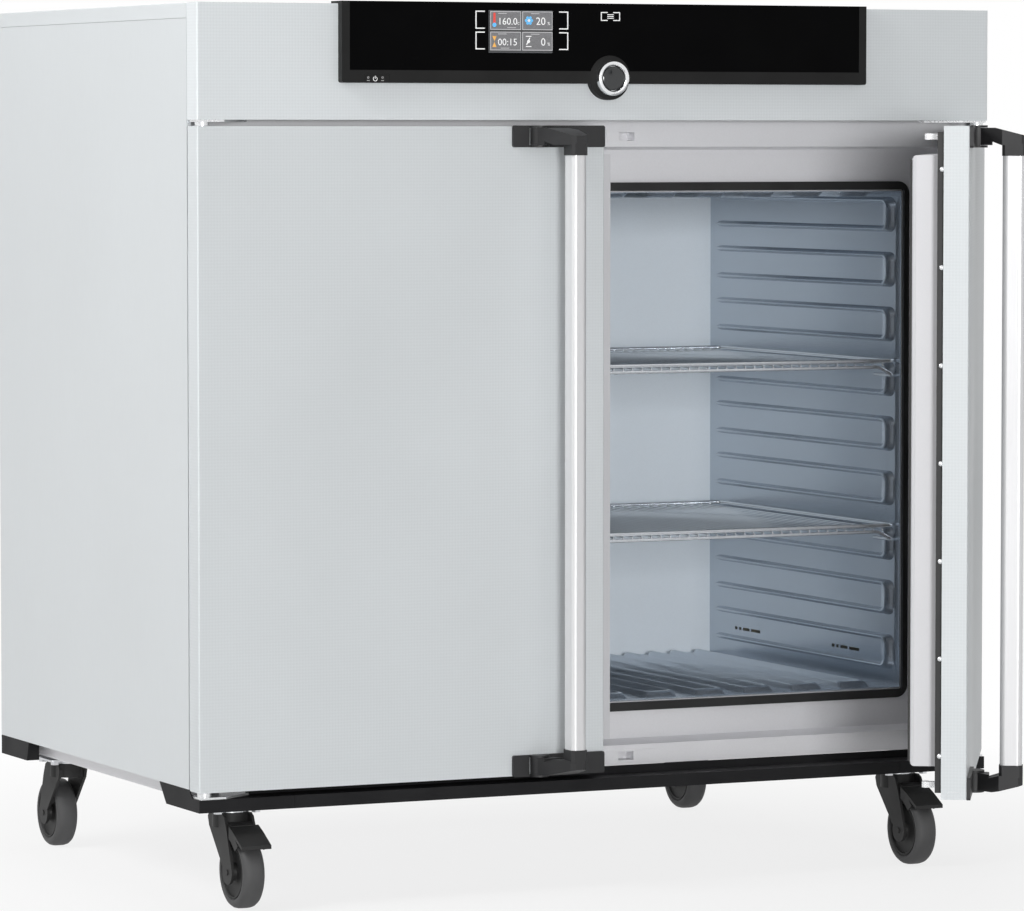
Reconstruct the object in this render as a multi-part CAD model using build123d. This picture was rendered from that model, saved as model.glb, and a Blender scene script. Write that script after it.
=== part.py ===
from build123d import *
import math
import os

# Forced air laboratory oven with two doors, on four swivel casters.
# Sizes in millimetres. X runs to the right of someone facing the doors, Y to the rear, Z up.
# Pieces are first laid out in the cabinet's frame: X = 0 on the cabinet's centre plane,
# Y = 0 on the doors' front faces, Z = 0 on the floor. The finished part is then moved
# so that the origin is on the floor under the middle of its bounding box.

# Chamber size and the walls round it, which give the cabinet its size
CHAMBER_W = 1040.0
CHAMBER_H = 720.0
CHAMBER_D = 600.0
CHAMBER_FLOOR_Z = 252.0
RECESS_Y = 88.0
WALL_SIDE = 92.0
WALL_TOP = 260.0
WALL_REAR = 96.0

# Cabinet
WIDTH = CHAMBER_W + 2 * WALL_SIDE
DEPTH = RECESS_Y + CHAMBER_D + WALL_REAR
HEIGHT = CHAMBER_FLOOR_Z + CHAMBER_H + WALL_TOP
SHEET_T = 1.5
SHEET_GAP = 0.4
PANEL_FRONT_FLANGE_W = 6.0
PANEL_REAR_FLANGE_W = 14.0
TOP_SKIRT_H = 20.6
HEADER_H = 157.8
SIDE_BOTTOM_Z = 165.6

# Doors
DOOR_T = 34.4
DOOR_SIDE_SEAM = 3.2
DOOR_TOP_GAP = 8.5
DOOR_BOTTOM_GAP = 9.5
DOOR_MEETING_GAP = 5.0
DOOR_SKIN_T = 1.2
DOOR_LIP_W = 12.0
DOOR_EDGE_R = 2.0
HINGE_INSET = 11.5
RIGHT_DOOR_OPEN = 57.9
EDGE_STRIP_T = 9.0
STRIP_SEAT = 0.4
EDGE_STRIP_INSET = 8.0
PLUG_T = 34.6
PLUG_MARGIN_TOP = 39.1
PLUG_MARGIN_BOTTOM = 40.6
PLUG_HINGE_MARGIN = 34.0
PLUG_EDGE_R = 6.0
PLUG_LIP_W = 16.0
ASTRAGAL_REACH = 28.4
ASTRAGAL_GAP = 11.0
PLUG_SEAL_T = 3.0
PLUG_SEAL_W = 9.0
CORE_GAP = 0.5

# Hinges
HINGE_PIN_D = 8.0
RUNNING_GAP = 0.05
HINGE_PLATE_L = 86.0
HINGE_PLATE_T = 3.0
HINGE_BOSS_D = 19.0
HINGE_PIN_DEPTH = 14.0
HINGE_BUSH_L = 24.0
SEAT_GAP = 0.3

# Door handles
CAP_W = 141.0
CAP_H = 30.0
CAP_T = 5.0
CAP_FREE_INSET = 3.2
HUB_D = 27.0
HUB_INSET = 103.0
HUB_AXIS_Y = -7.0
HUB_LUG_T = 3.0
HUB_PIN_D = 7.0
HANDLE_SWING = 30.0
BAR_W = 22.5
BAR_D = 30.0
BAR_INSET = 72.0
BAR_AXIS_Y = -57.0
BAR_R = 7.0
BAR_END_GAP = 11.0
ARM_EDGE = 4.0
ARM_SLOPE = 11.0
ARM_LIFT = 5.0

# Latches and strikes
LATCH_INSET = 53.0
LATCH_AXIS_Y = 22.0
LATCH_REACH = 62.0
LATCH_T = 8.0
LATCH_FINGER_W = 9.0
LATCH_NOSE = 4.0
LATCH_SPINDLE_D = 10.0
LATCH_SPINDLE_L = 20.0
LATCH_BLOCK_W = 20.0
LATCH_BELOW_TOP = 14.2
STRIKE_START = 22.9
STRIKE_L = 81.0
STRIKE_H = 16.5
STRIKE_T = 1.5
WINDOW_START = 42.4
WINDOW_L = 24.0

# Front frame
FRAME_Y = 46.0
FRAME_SHEET_T = 1.5
RECESS_MARGIN_SIDE = 28.0
RECESS_MARGIN_TOP = 37.2
RECESS_MARGIN_BOTTOM = 28.0
RECESS_DRAFT = 4.5
MOUTH_GASKET_W = CHAMBER_W + 20.4
MOUTH_GASKET_H = CHAMBER_H + 29.4
MOUTH_GASKET_IN_H = CHAMBER_H + 5.2
MOUTH_GASKET_T = 6.0
MOUTH_GASKET_R = 18.0

# Chamber
CHAMBER_SHEET_T = 1.2
MOUTH_BEAD = 2.0
HAIRPIN_ROWS = 9
ROWS_BOTTOM_MARGIN = 48.5
ROWS_TOP_MARGIN = 33.9
HAIRPIN_COLUMNS = 13
COLUMNS_LEFT_MARGIN = 34.8
COLUMNS_RIGHT_MARGIN = 60.8
HAIRPIN_FRONT = 14.0
HAIRPIN_REAR = 24.0
HAIRPIN_L = CHAMBER_D - HAIRPIN_FRONT - HAIRPIN_REAR
HAIRPIN_PITCH_Z = (CHAMBER_H - ROWS_BOTTOM_MARGIN - ROWS_TOP_MARGIN) / (HAIRPIN_ROWS - 1)
HAIRPIN_MID_Z = CHAMBER_FLOOR_Z + (CHAMBER_H + ROWS_BOTTOM_MARGIN - ROWS_TOP_MARGIN) / 2
HAIRPIN_PITCH_X = (CHAMBER_W - COLUMNS_LEFT_MARGIN - COLUMNS_RIGHT_MARGIN) / (HAIRPIN_COLUMNS - 1)
HAIRPIN_SHIFT_X = (COLUMNS_LEFT_MARGIN - COLUMNS_RIGHT_MARGIN) / 2
HAIRPIN_H = 50.8
RIB_W = 9.2
RIB_RISE = 8.0
RIB_TAPER = 18.0
BEND_DEPTH = 34.0
AIR_SLOT_Z = CHAMBER_FLOOR_Z + 43.5
AIR_SLOT_H = 4.5
AIR_SLOT_STARTS = (121.0, 432.0)
AIR_SLOT_LENGTHS = (30.0, 22.0, 8.0, 8.0)
AIR_SLOT_GAP = 5.0

# Fan and baffle
BAFFLE_W = CHAMBER_W - 440.0
BAFFLE_H = CHAMBER_H - 160.0
BAFFLE_D = 38.0
BAFFLE_FOOT_W = 14.0
BAFFLE_SLANT = 16.0
FAN_Z = CHAMBER_FLOOR_Z + CHAMBER_H / 2
FAN_D = 200.0
FAN_BLADES = 16
FAN_BLADE_H = 22.0
FAN_PLATE_T = 2.0
FAN_HUB_D = 32.0
FAN_SHAFT_D = 10.0
FAN_WALL_GAP = 4.0
INTAKE_D = 150.0
INTAKE_SLOT_W = 9.0
INTAKE_SLOTS = 9
MOTOR_D = 92.0
MOTOR_L = WALL_REAR - 26.0
MOTOR_HOLE_D = 60.0

# Shelves
SHELF_ROWS = (1, -2)
SHELF_ROD_D = 6.0
SHELF_WIRE_D = 2.6
SHELF_PITCH = 15.0
SHELF_SIDE_GAP = 2.5
SHELF_FRONT = 4.5
SHELF_REAR = 44.5
SHELF_DEPTH = CHAMBER_D - SHELF_FRONT - SHELF_REAR - SHELF_ROD_D
SHELF_CORNER_R = 12.0
SHELF_ROD_EDGE = 1.5
SHELF_ROD_GAP = 2.0
SHELF_HOOK_W = 5.0
SHELF_HOOK_RUN = 24.0
SHELF_HOOK_DROP = 12.0
SHELF_HOOK_L = HAIRPIN_FRONT - SHELF_FRONT - SHELF_ROD_D / 2 - 0.5

# Base
CASTER_H = 137.0
PLINTH_H = 17.5
PLINTH_T = 2.0
PLINTH_JOINT_INSET = 140.0
CAP_SIDE_TOP = 147.0
CAP_SIDE_BOTTOM = 122.0
REAR_CAP_L = 108.0
REAR_CAP_SLANT = 8.0
REAR_CAP_RETURN = 21.0
RAIL_INSET = 20.0
RAIL_W = 30.0
RAIL_BOTTOM_Z = 146.0
RAIL_WALL = 2.0
CROSS_RAIL_W = 86.0
CASTER_Y = 74.0

# Casters
CASTER_INSET_LEFT = 75.0
CASTER_INSET_RIGHT = 102.0
WHEEL_D = 100.0
WHEEL_W = 32.0
WHEEL_EDGE_R = 9.0
WHEEL_DISH_D = 74.0
WHEEL_DISH_DEPTH = 4.0
WHEEL_HUB_D = 22.0
TRAIL = 42.0
AXLE_D = 8.0
CHEEK_T = 4.0
CHEEK_GAP = 2.0
CHEEK_END_R = 17.0
CROWN_H = 20.0
CROWN_BACK = 27.0
CROWN_FRONT = 36.0
KINGPIN_D = 14.0
CASTER_PLATE_T = 3.0
CASTER_PLATE_L = 80.0
CASTER_BOLT_X = 56.0
CASTER_BOLT_Y = 50.0
CASTER_BOLT_D = 13.0
CASTER_BOLT_H = 5.5
RACE_D = 48.0
PEDAL_W = 44.0
PEDAL_T = 5.0
PEDAL_L = 62.0
PEDAL_PIN_Y = 32.0
PEDAL_PIN_Z = 111.0
PEDAL_PIN_D = 6.0
PEDAL_DROP = 31.0

# Control panel
PANEL_W = WIDTH - 413.0
PANEL_BOTTOM_Z = HEIGHT - 107.5
PANEL_PROUD = 13.0
PANEL_LIP_L = 24.0
PANEL_LIP_T = 3.5
PANEL_BORDER = 12.0
PANEL_GLASS_BOTTOM = 17.5
PANEL_GLASS_T = 2.0
KNOB_Z = PANEL_BOTTOM_Z + 7.3
KNOB_BOSS_D = 59.5
KNOB_ARC_D = 64.0
RING_OUT_D = 48.5
RING_IN_D = 34.4
RING_L = 13.5
RING_WEB_T = 6.0
RING_BOSS_D = 20.0
KEY_D = 33.2
KEY_STEM_D = 10.0
KEY_TRAVEL = 1.5
DISPLAY_W = 97.0
DISPLAY_H = 58.0
DISPLAY_X = -137.5
DISPLAY_Z = HEIGHT - 36.5
POWER_KEY_W = 35.5
POWER_KEY_H = 11.0
POWER_KEY_X = -353.3
POWER_KEY_DEPTH = 5.0
POWER_KEY_TRAVEL = 1.0
POWER_STEM_D = 4.0
UNIT_W = 520.0
UNIT_D = 20.0
UNIT_H = 90.0

# Rear fittings
OUTLET_X = 140.0 - CHAMBER_W / 2
OUTLET_Z = CHAMBER_FLOOR_Z + CHAMBER_H - 67.0
OUTLET_D = 60.0
OUTLET_WALL = 2.0
OUTLET_REACH = 25.0
OUTLET_FLANGE_D = 92.0
FLAP_T = 2.0
FLAP_GAP = 0.4
FLAP_PIN_D = 5.0
GLAND_X = CHAMBER_W / 2 - 50.0
GLAND_Z = 260.0
GLAND_D = 24.0
GLAND_STUB_D = 16.0
GLAND_BORE_D = 11.0
GLAND_L = 22.0

# Insulation and heating rods
WOOL_GAP = 12.0
WOOL_SIDE_CLEAR = 3.0
ROD_W = 6.0
ROD_SEAT = 0.3

# Places worked out from the sizes above
HALF_W = WIDTH / 2
HEADER_BOTTOM = HEIGHT - HEADER_H
PLINTH_TOP = CASTER_H + PLINTH_H
DOOR_TOP = HEADER_BOTTOM - DOOR_TOP_GAP
DOOR_BOTTOM = PLINTH_TOP + DOOR_BOTTOM_GAP
DOOR_FREE = DOOR_MEETING_GAP / 2
SIDE_FRONT_Y = DOOR_T + DOOR_SIDE_SEAM
SIDE_TOP_Z = HEIGHT - TOP_SKIRT_H
HINGE_X = HALF_W - HINGE_INSET
STRIP_Y = DOOR_T + EDGE_STRIP_T
PLUG_BACK_Y = STRIP_Y + PLUG_T
PLUG_TOP = DOOR_TOP - PLUG_MARGIN_TOP
PLUG_BOTTOM = DOOR_BOTTOM + PLUG_MARGIN_BOTTOM
LATCH_TOP_Z = DOOR_TOP - LATCH_BELOW_TOP
LATCH_BOTTOM_Z = DOOR_BOTTOM + LATCH_BELOW_TOP
CHAMBER_TOP_Z = CHAMBER_FLOOR_Z + CHAMBER_H
CHAMBER_BACK_Y = RECESS_Y + CHAMBER_D
CHAMBER_OUT_W = CHAMBER_W + 2 * CHAMBER_SHEET_T
FLOOR_UNDER_Z = CHAMBER_FLOOR_Z - CHAMBER_SHEET_T
CEILING_OVER_Z = CHAMBER_TOP_Z + CHAMBER_SHEET_T
WALL_BACK_Y = CHAMBER_BACK_Y + CHAMBER_SHEET_T
REAR_SKIN_Y = DEPTH - SHEET_T
RECESS_TOP = HEADER_BOTTOM - RECESS_MARGIN_TOP
RECESS_BOTTOM = SIDE_BOTTOM_Z + RECESS_MARGIN_BOTTOM
RECESS_HALF_W = HALF_W - RECESS_MARGIN_SIDE
INNER_HALF_W = HALF_W - SHEET_T - SHEET_GAP
PANEL_TOP = HEIGHT + PANEL_LIP_T
WHEEL_R = WHEEL_D / 2


def block(x0, x1, y0, y1, z0, z1):
    """Rectangular solid between two opposite corners."""
    middle = ((x0 + x1) / 2, (y0 + y1) / 2, (z0 + z1) / 2)
    return Pos(*middle) * Box(x1 - x0, y1 - y0, z1 - z0)


def rod_x(x0, x1, y, z, diameter):
    """Round bar along X."""
    return Pos((x0 + x1) / 2, y, z) * Rot(0, 90, 0) * Cylinder(diameter / 2, x1 - x0)


def rod_y(x, y0, y1, z, diameter):
    """Round bar along Y."""
    return Pos(x, (y0 + y1) / 2, z) * Rot(90, 0, 0) * Cylinder(diameter / 2, y1 - y0)


def rod_z(x, y, z0, z1, diameter):
    """Round bar along Z."""
    return Pos(x, y, (z0 + z1) / 2) * Cylinder(diameter / 2, z1 - z0)


def yz_plate(points, x0, x1):
    """Plate between two X places, with an outline of (y, z) points."""
    outline = Plane.YZ.offset(x0) * make_face(Polyline(*points, close=True))
    return extrude(outline, x1 - x0)


def xy_plate(points, z0, z1):
    """Plate between two heights, with an outline of (x, y) points."""
    outline = Plane.XY.offset(z0) * make_face(Polyline(*points, close=True))
    return extrude(outline, z1 - z0)


def group(solids):
    """Several separate solids in one node."""
    return Compound(children=list(solids))


def mirrored(shape):
    """The same piece on the other side of the centre plane."""
    return mirror(shape, about=Plane.YZ)


# Casing

def side_panel_right():
    """Folded side panel, with a return flange along its front and its rear edge."""
    x_out = HALF_W
    x_in = HALF_W - SHEET_T
    back_y = REAR_SKIN_Y - SHEET_GAP
    top_z = SIDE_TOP_Z - SHEET_GAP
    skin = block(x_in, x_out, SIDE_FRONT_Y, DEPTH, SIDE_BOTTOM_Z, top_z)
    front_x, rear_x = x_out - PANEL_FRONT_FLANGE_W, x_out - PANEL_REAR_FLANGE_W
    front = block(front_x, x_out, SIDE_FRONT_Y, SIDE_FRONT_Y + SHEET_T, SIDE_BOTTOM_Z, top_z)
    rear = block(rear_x, x_out, back_y - SHEET_T, back_y, SIDE_BOTTOM_Z, top_z)
    return skin + front + rear


def top_cover():
    """Shallow tray over the whole cabinet behind the header."""
    front_y = SIDE_FRONT_Y
    skin = block(-HALF_W, HALF_W, front_y, DEPTH, SIDE_TOP_Z, HEIGHT)
    hollow = block(
        -HALF_W + SHEET_T, HALF_W - SHEET_T, front_y, DEPTH - SHEET_T, SIDE_TOP_Z, HEIGHT - SHEET_T
    )
    tray = skin - hollow
    return fillet(tray.edges().filter_by(Axis.Y).sort_by(Axis.Z)[-2:], DOOR_EDGE_R)


def rear_panel():
    """Flat sheet that closes the back, with holes for the air outlet and the cord gland."""
    sheet = block(-INNER_HALF_W, INNER_HALF_W, REAR_SKIN_Y, DEPTH, SIDE_BOTTOM_Z, SIDE_TOP_Z - SHEET_GAP)
    outlet_hole = rod_y(OUTLET_X, REAR_SKIN_Y - 1, DEPTH + 1, OUTLET_Z, OUTLET_D + 2 * SEAT_GAP)
    gland_hole = rod_y(GLAND_X, REAR_SKIN_Y - 1, DEPTH + 1, GLAND_Z, GLAND_STUB_D + 2 * SEAT_GAP)
    return sheet - outlet_hole - gland_hole


def header_panel():
    """Front fascia above the doors, folded back along all four edges."""
    back_y = SIDE_FRONT_Y - SHEET_GAP * 2
    tray = block(-HALF_W, HALF_W, 0, back_y, HEADER_BOTTOM, HEIGHT)
    tray = fillet(tray.edges().filter_by(Axis.Z).sort_by(Axis.Y)[:2], DOOR_EDGE_R)
    hollow = block(
        -HALF_W + SHEET_T, HALF_W - SHEET_T, SHEET_T, back_y + 1, HEADER_BOTTOM + SHEET_T, HEIGHT - SHEET_T
    )
    key_hole = rod_y(0, -1, SHEET_T + 1, KNOB_Z, KEY_STEM_D + 2)
    return tray - hollow - key_hole


def frame_ring(half_w, bottom, top, y):
    """Rectangle on a plane facing the front, as a face."""
    sketch = Rectangle(2 * half_w, top - bottom)
    return Plane.XZ.offset(-y) * Pos(0, (top + bottom) / 2) * sketch


def tapered_block(grow):
    """The drafted recess of the front frame, grown outwards by a sheet thickness."""
    front = frame_ring(RECESS_HALF_W + grow, RECESS_BOTTOM - grow, RECESS_TOP + grow, FRAME_Y)
    half_w = RECESS_HALF_W - RECESS_DRAFT + grow
    bottom = RECESS_BOTTOM + RECESS_DRAFT - grow
    top = RECESS_TOP - RECESS_DRAFT + grow
    rear = frame_ring(half_w, bottom, top, RECESS_Y + FRAME_SHEET_T)
    return loft([front.face(), rear.face()])


def strike_window(side):
    """Left and right edge of the window that a latch finger enters."""
    return sorted((side * WINDOW_START, side * (WINDOW_START + WINDOW_L)))


def front_frame():
    """Stepped frame between the casing and the chamber: outer flange, drafted recess, inner flange."""
    top_z = HEADER_BOTTOM + 30
    flange = block(-INNER_HALF_W, INNER_HALF_W, FRAME_Y, FRAME_Y + FRAME_SHEET_T, SIDE_BOTTOM_Z, top_z)
    body = flange + tapered_block(FRAME_SHEET_T)
    recess_cut = tapered_block(0) & block(-HALF_W, HALF_W, FRAME_Y - 1, RECESS_Y, 0, HEIGHT)
    mouth_half = CHAMBER_OUT_W / 2 + SEAT_GAP
    mouth = block(
        -mouth_half, mouth_half, FRAME_Y, RECESS_Y + 10, FLOOR_UNDER_Z - SEAT_GAP, CEILING_OVER_Z + SEAT_GAP
    )
    body = body - recess_cut - mouth
    for side in (-1, 1):
        low, high = strike_window(side)
        for z in (LATCH_TOP_Z, LATCH_BOTTOM_Z):
            body -= block(
                low, high, FRAME_Y - 1, FRAME_Y + FRAME_SHEET_T + 1, z - LATCH_T * 0.75, z + LATCH_T * 0.75
            )
    return body


def mouth_gasket():
    """Black sealing band round the chamber's mouth, with round outer corners."""
    inner_w = CHAMBER_OUT_W + 4 * SEAT_GAP
    band = RectangleRounded(MOUTH_GASKET_W, MOUTH_GASKET_H, MOUTH_GASKET_R)
    band -= RectangleRounded(inner_w, MOUTH_GASKET_IN_H, 2.0)
    middle_z = (CEILING_OVER_Z + FLOOR_UNDER_Z) / 2
    placed = Plane.XZ.offset(-RECESS_Y) * Pos(0, middle_z) * band
    return extrude(placed, MOUTH_GASKET_T)


def strike_plates():
    """Four steel catch plates on the frame, each with a window for a latch finger."""
    plates = []
    for side in (-1, 1):
        low, high = sorted((side * STRIKE_START, side * (STRIKE_START + STRIKE_L)))
        window = strike_window(side)
        for z in (LATCH_TOP_Z, LATCH_BOTTOM_Z):
            plate = block(low, high, FRAME_Y - STRIKE_T, FRAME_Y, z - STRIKE_H / 2, z + STRIKE_H / 2)
            plate = fillet(plate.edges().filter_by(Axis.Y), 2.0)
            plate -= block(
                *window, FRAME_Y - STRIKE_T - 1, FRAME_Y + 1, z - LATCH_T * 0.75, z + LATCH_T * 0.75
            )
            plates.append(plate)
    return group(plates)


def hinge_bracket(top):
    """Right hinge bracket with its boss and pin, above or below the door."""
    x_start = HALF_W - HINGE_PLATE_L
    if top:
        seat_z, sign, door_z = HEADER_BOTTOM, -1, DOOR_TOP
    else:
        seat_z, sign, door_z = PLINTH_TOP, 1, DOOR_BOTTOM
    plate_end = seat_z + sign * HINGE_PLATE_T
    low, high = sorted((seat_z, plate_end))
    front_y = HINGE_INSET - HINGE_BOSS_D / 2
    plate = xy_plate(
        (
            (x_start, FRAME_Y),
            (x_start, FRAME_Y - 12),
            (HALF_W - 40, front_y),
            (HALF_W - 2, front_y),
            (HALF_W - 2, FRAME_Y - 14),
            (HALF_W - 8, FRAME_Y - 9),
            (HALF_W - 8, FRAME_Y),
        ),
        low,
        high,
    )
    boss_end = door_z - sign * SEAT_GAP
    boss = rod_z(HINGE_X, HINGE_INSET, *sorted((seat_z, boss_end)), HINGE_BOSS_D)
    pin_end = door_z + sign * HINGE_PIN_DEPTH
    pin = rod_z(HINGE_X, HINGE_INSET, *sorted((seat_z, pin_end)), HINGE_PIN_D)
    return plate + boss + pin


def hinge_brackets():
    """The four brackets that carry the doors."""
    right = [hinge_bracket(True), hinge_bracket(False)]
    return group(right + [mirrored(shape) for shape in right])


# Chamber

def hairpin():
    """Pressed hairpin rib: a wide round bend at the front and two legs, lying on the XY plane.

    The bend's outermost point is at the origin and the legs run along +X.
    """
    outer_r = HAIRPIN_H / 2
    outline = Pos(outer_r, 0) * Circle(outer_r)
    outline += Pos((HAIRPIN_L + outer_r) / 2, 0) * Rectangle(HAIRPIN_L - outer_r, HAIRPIN_H)
    pin = extrude(outline, RIB_RISE, taper=RIB_TAPER)
    half = HAIRPIN_H / 2 - RIB_W + RIB_RISE * math.tan(math.radians(RIB_TAPER))
    corner = half / 2
    pocket = Polyline(
        (HAIRPIN_L + 20, -half),
        (BEND_DEPTH + corner, -half),
        (BEND_DEPTH, -half + corner),
        (BEND_DEPTH, half - corner),
        (BEND_DEPTH + corner, half),
        (HAIRPIN_L + 20, half),
        close=True,
    )
    top = Plane.XY.offset(RIB_RISE) * make_face(pocket)
    return pin - extrude(top, -RIB_RISE, taper=RIB_TAPER)


def ribbed(plate, places):
    """Wall sheet with a hairpin at each place."""
    pin = hairpin()
    for place in places:
        plate += place * pin
    return plate


def hairpin_rows():
    """Heights of the hairpins on the side walls."""
    half = (HAIRPIN_ROWS - 1) / 2
    return [HAIRPIN_MID_Z + (row - half) * HAIRPIN_PITCH_Z for row in range(HAIRPIN_ROWS)]


def hairpin_columns():
    """Places across the floor and the ceiling."""
    half = (HAIRPIN_COLUMNS - 1) / 2
    return [HAIRPIN_SHIFT_X + (column - half) * HAIRPIN_PITCH_X for column in range(HAIRPIN_COLUMNS)]


def side_wall_right():
    """Ribbed chamber wall, with two rows of narrow air slots near the floor."""
    x = CHAMBER_W / 2
    front_y = RECESS_Y - MOUTH_BEAD
    sheet = block(x, x + CHAMBER_SHEET_T, front_y, CHAMBER_BACK_Y, FLOOR_UNDER_Z, CEILING_OVER_Z)
    for start in AIR_SLOT_STARTS:
        y = RECESS_Y + start
        for length in AIR_SLOT_LENGTHS:
            sheet -= block(
                x - 1, x + CHAMBER_SHEET_T + 1, y, y + length, AIR_SLOT_Z - AIR_SLOT_H / 2,
                AIR_SLOT_Z + AIR_SLOT_H / 2,
            )
            y += length + AIR_SLOT_GAP
    y_start = RECESS_Y + HAIRPIN_FRONT
    places = []
    for z in hairpin_rows():
        plane = Plane(origin=(x, y_start, z), x_dir=(0, 1, 0), z_dir=(-1, 0, 0))
        places.append(plane.location)
    return ribbed(sheet, places)


def chamber_side_walls():
    """Left and right chamber walls."""
    right = side_wall_right()
    return group([right, mirrored(right)])


def chamber_floor():
    """Ribbed floor sheet."""
    half = CHAMBER_W / 2
    sheet = block(
        -half, half, RECESS_Y - MOUTH_BEAD, CHAMBER_BACK_Y, FLOOR_UNDER_Z, CHAMBER_FLOOR_Z
    )
    y_start = RECESS_Y + HAIRPIN_FRONT
    places = []
    for x in hairpin_columns():
        plane = Plane(origin=(x, y_start, CHAMBER_FLOOR_Z), x_dir=(0, 1, 0), z_dir=(0, 0, 1))
        places.append(plane.location)
    return ribbed(sheet, places)


def chamber_ceiling():
    """Ribbed ceiling sheet."""
    half = CHAMBER_W / 2
    sheet = block(-half, half, RECESS_Y - MOUTH_BEAD, CHAMBER_BACK_Y, CHAMBER_TOP_Z, CEILING_OVER_Z)
    y_start = RECESS_Y + HAIRPIN_FRONT
    places = []
    for x in hairpin_columns():
        plane = Plane(origin=(x, y_start, CHAMBER_TOP_Z), x_dir=(0, 1, 0), z_dir=(0, 0, -1))
        places.append(plane.location)
    return ribbed(sheet, places)


def chamber_rear_wall():
    """Plain rear wall, open for the fan shaft and the air outlet."""
    half = CHAMBER_OUT_W / 2
    sheet = block(-half, half, CHAMBER_BACK_Y, WALL_BACK_Y, FLOOR_UNDER_Z, CEILING_OVER_Z)
    sheet -= rod_y(0, CHAMBER_BACK_Y - 1, WALL_BACK_Y + 1, FAN_Z, FAN_SHAFT_D + 6)
    inner_d = OUTLET_D - 2 * OUTLET_WALL
    sheet -= rod_y(OUTLET_X, CHAMBER_BACK_Y - 1, WALL_BACK_Y + 1, OUTLET_Z, inner_d)
    return sheet


def fan_baffle():
    """Folded cover in front of the fan, open above and below, with a slotted round intake."""
    half_w, half_h = BAFFLE_W / 2, BAFFLE_H / 2
    front_y = CHAMBER_BACK_Y - BAFFLE_D
    back_y = CHAMBER_BACK_Y
    t = CHAMBER_SHEET_T
    foot, slant = BAFFLE_FOOT_W, BAFFLE_SLANT
    right = [
        (half_w - foot - slant, front_y),
        (half_w - foot, back_y - t),
        (half_w, back_y - t),
        (half_w, back_y),
        (half_w - foot - t, back_y),
        (half_w - foot - slant - t, front_y + t),
    ]
    outline = right + [(-x, y) for x, y in reversed(right)]
    cover = xy_plate(outline, FAN_Z - half_h, FAN_Z + half_h)
    step = INTAKE_D / INTAKE_SLOTS
    for index in range(INTAKE_SLOTS):
        z = FAN_Z + (index - (INTAKE_SLOTS - 1) / 2) * step
        reach = math.sqrt((INTAKE_D / 2) ** 2 - (z - FAN_Z) ** 2)
        low, high = z - INTAKE_SLOT_W / 2, z + INTAKE_SLOT_W / 2
        cover -= block(-reach, reach, front_y - 1, front_y + t + 1, low, high)
    return cover


def fan_wheel():
    """Radial fan wheel with straight blades, fixed on its shaft."""
    plate_back = CHAMBER_BACK_Y - FAN_WALL_GAP
    plate_front = plate_back - FAN_PLATE_T
    blade_front = plate_front - FAN_BLADE_H
    wheel = rod_y(0, plate_front, plate_back, FAN_Z, FAN_D)
    wheel += rod_y(0, blade_front, plate_back, FAN_Z, FAN_HUB_D)
    outer, inner = FAN_D / 2 - 1, FAN_D * 0.3
    blade = block(inner, outer, blade_front, plate_front + 0.5, FAN_Z - 1, FAN_Z + 1)
    for index in range(FAN_BLADES):
        turn = Pos(0, 0, FAN_Z) * Rot(0, index * 360 / FAN_BLADES, 0) * Pos(0, 0, -FAN_Z)
        wheel += turn * blade
    shaft_end = WALL_BACK_Y + WOOL_GAP + MOTOR_L / 2
    wheel += rod_y(0, plate_back - 1, shaft_end, FAN_Z, FAN_SHAFT_D)
    return wheel


def fan_motor():
    """Motor behind the rear wall, on a round flange, with the shaft's bearing bore through it."""
    front_y = WALL_BACK_Y + WOOL_GAP
    motor = rod_y(0, front_y, front_y + MOTOR_L, FAN_Z, MOTOR_D)
    motor = fillet(motor.edges().filter_by(GeomType.CIRCLE).sort_by(Axis.Y)[-1:], 5)
    motor += rod_y(0, WALL_BACK_Y, front_y + 1, FAN_Z, MOTOR_HOLE_D)
    bore_d = FAN_SHAFT_D + 2 * RUNNING_GAP
    return motor - rod_y(0, WALL_BACK_Y - 1, front_y + MOTOR_L / 2 + 2, FAN_Z, bore_d)


def heating_rod():
    """One hairpin heating rod, lying on the XY plane like the rib that it warms."""
    out_h = HAIRPIN_H - RIB_W + ROD_W
    in_h = out_h - 2 * ROD_W
    front, rear = BEND_DEPTH / 3, HAIRPIN_L - RIB_W
    outline = Polyline(
        (rear, -out_h / 2), (front + ROD_W, -out_h / 2), (front, -out_h / 4), (front, out_h / 4),
        (front + ROD_W, out_h / 2), (rear, out_h / 2), (rear, in_h / 2), (front + 2 * ROD_W, in_h / 2),
        (front + ROD_W, in_h / 4), (front + ROD_W, -in_h / 4), (front + 2 * ROD_W, -in_h / 2),
        (rear, -in_h / 2), close=True,
    )
    return extrude(make_face(outline), ROD_W)


def heating_rods():
    """Heating rods along the outer faces of the side walls, the floor and the ceiling."""
    rod = heating_rod()
    y = RECESS_Y + HAIRPIN_FRONT
    side_x = CHAMBER_OUT_W / 2 + ROD_SEAT
    rods = []
    for z in hairpin_rows():
        for side in (-1, 1):
            plane = Plane(origin=(side * side_x, y, z), x_dir=(0, 1, 0), z_dir=(side, 0, 0))
            rods.append(plane.location * rod)
    for x in hairpin_columns():
        under = Plane(origin=(x, y, FLOOR_UNDER_Z - ROD_SEAT), x_dir=(0, 1, 0), z_dir=(0, 0, -1))
        over = Plane(origin=(x, y, CEILING_OVER_Z + ROD_SEAT), x_dir=(0, 1, 0), z_dir=(0, 0, 1))
        rods.append(under.location * rod)
        rods.append(over.location * rod)
    return group(rods)


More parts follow.
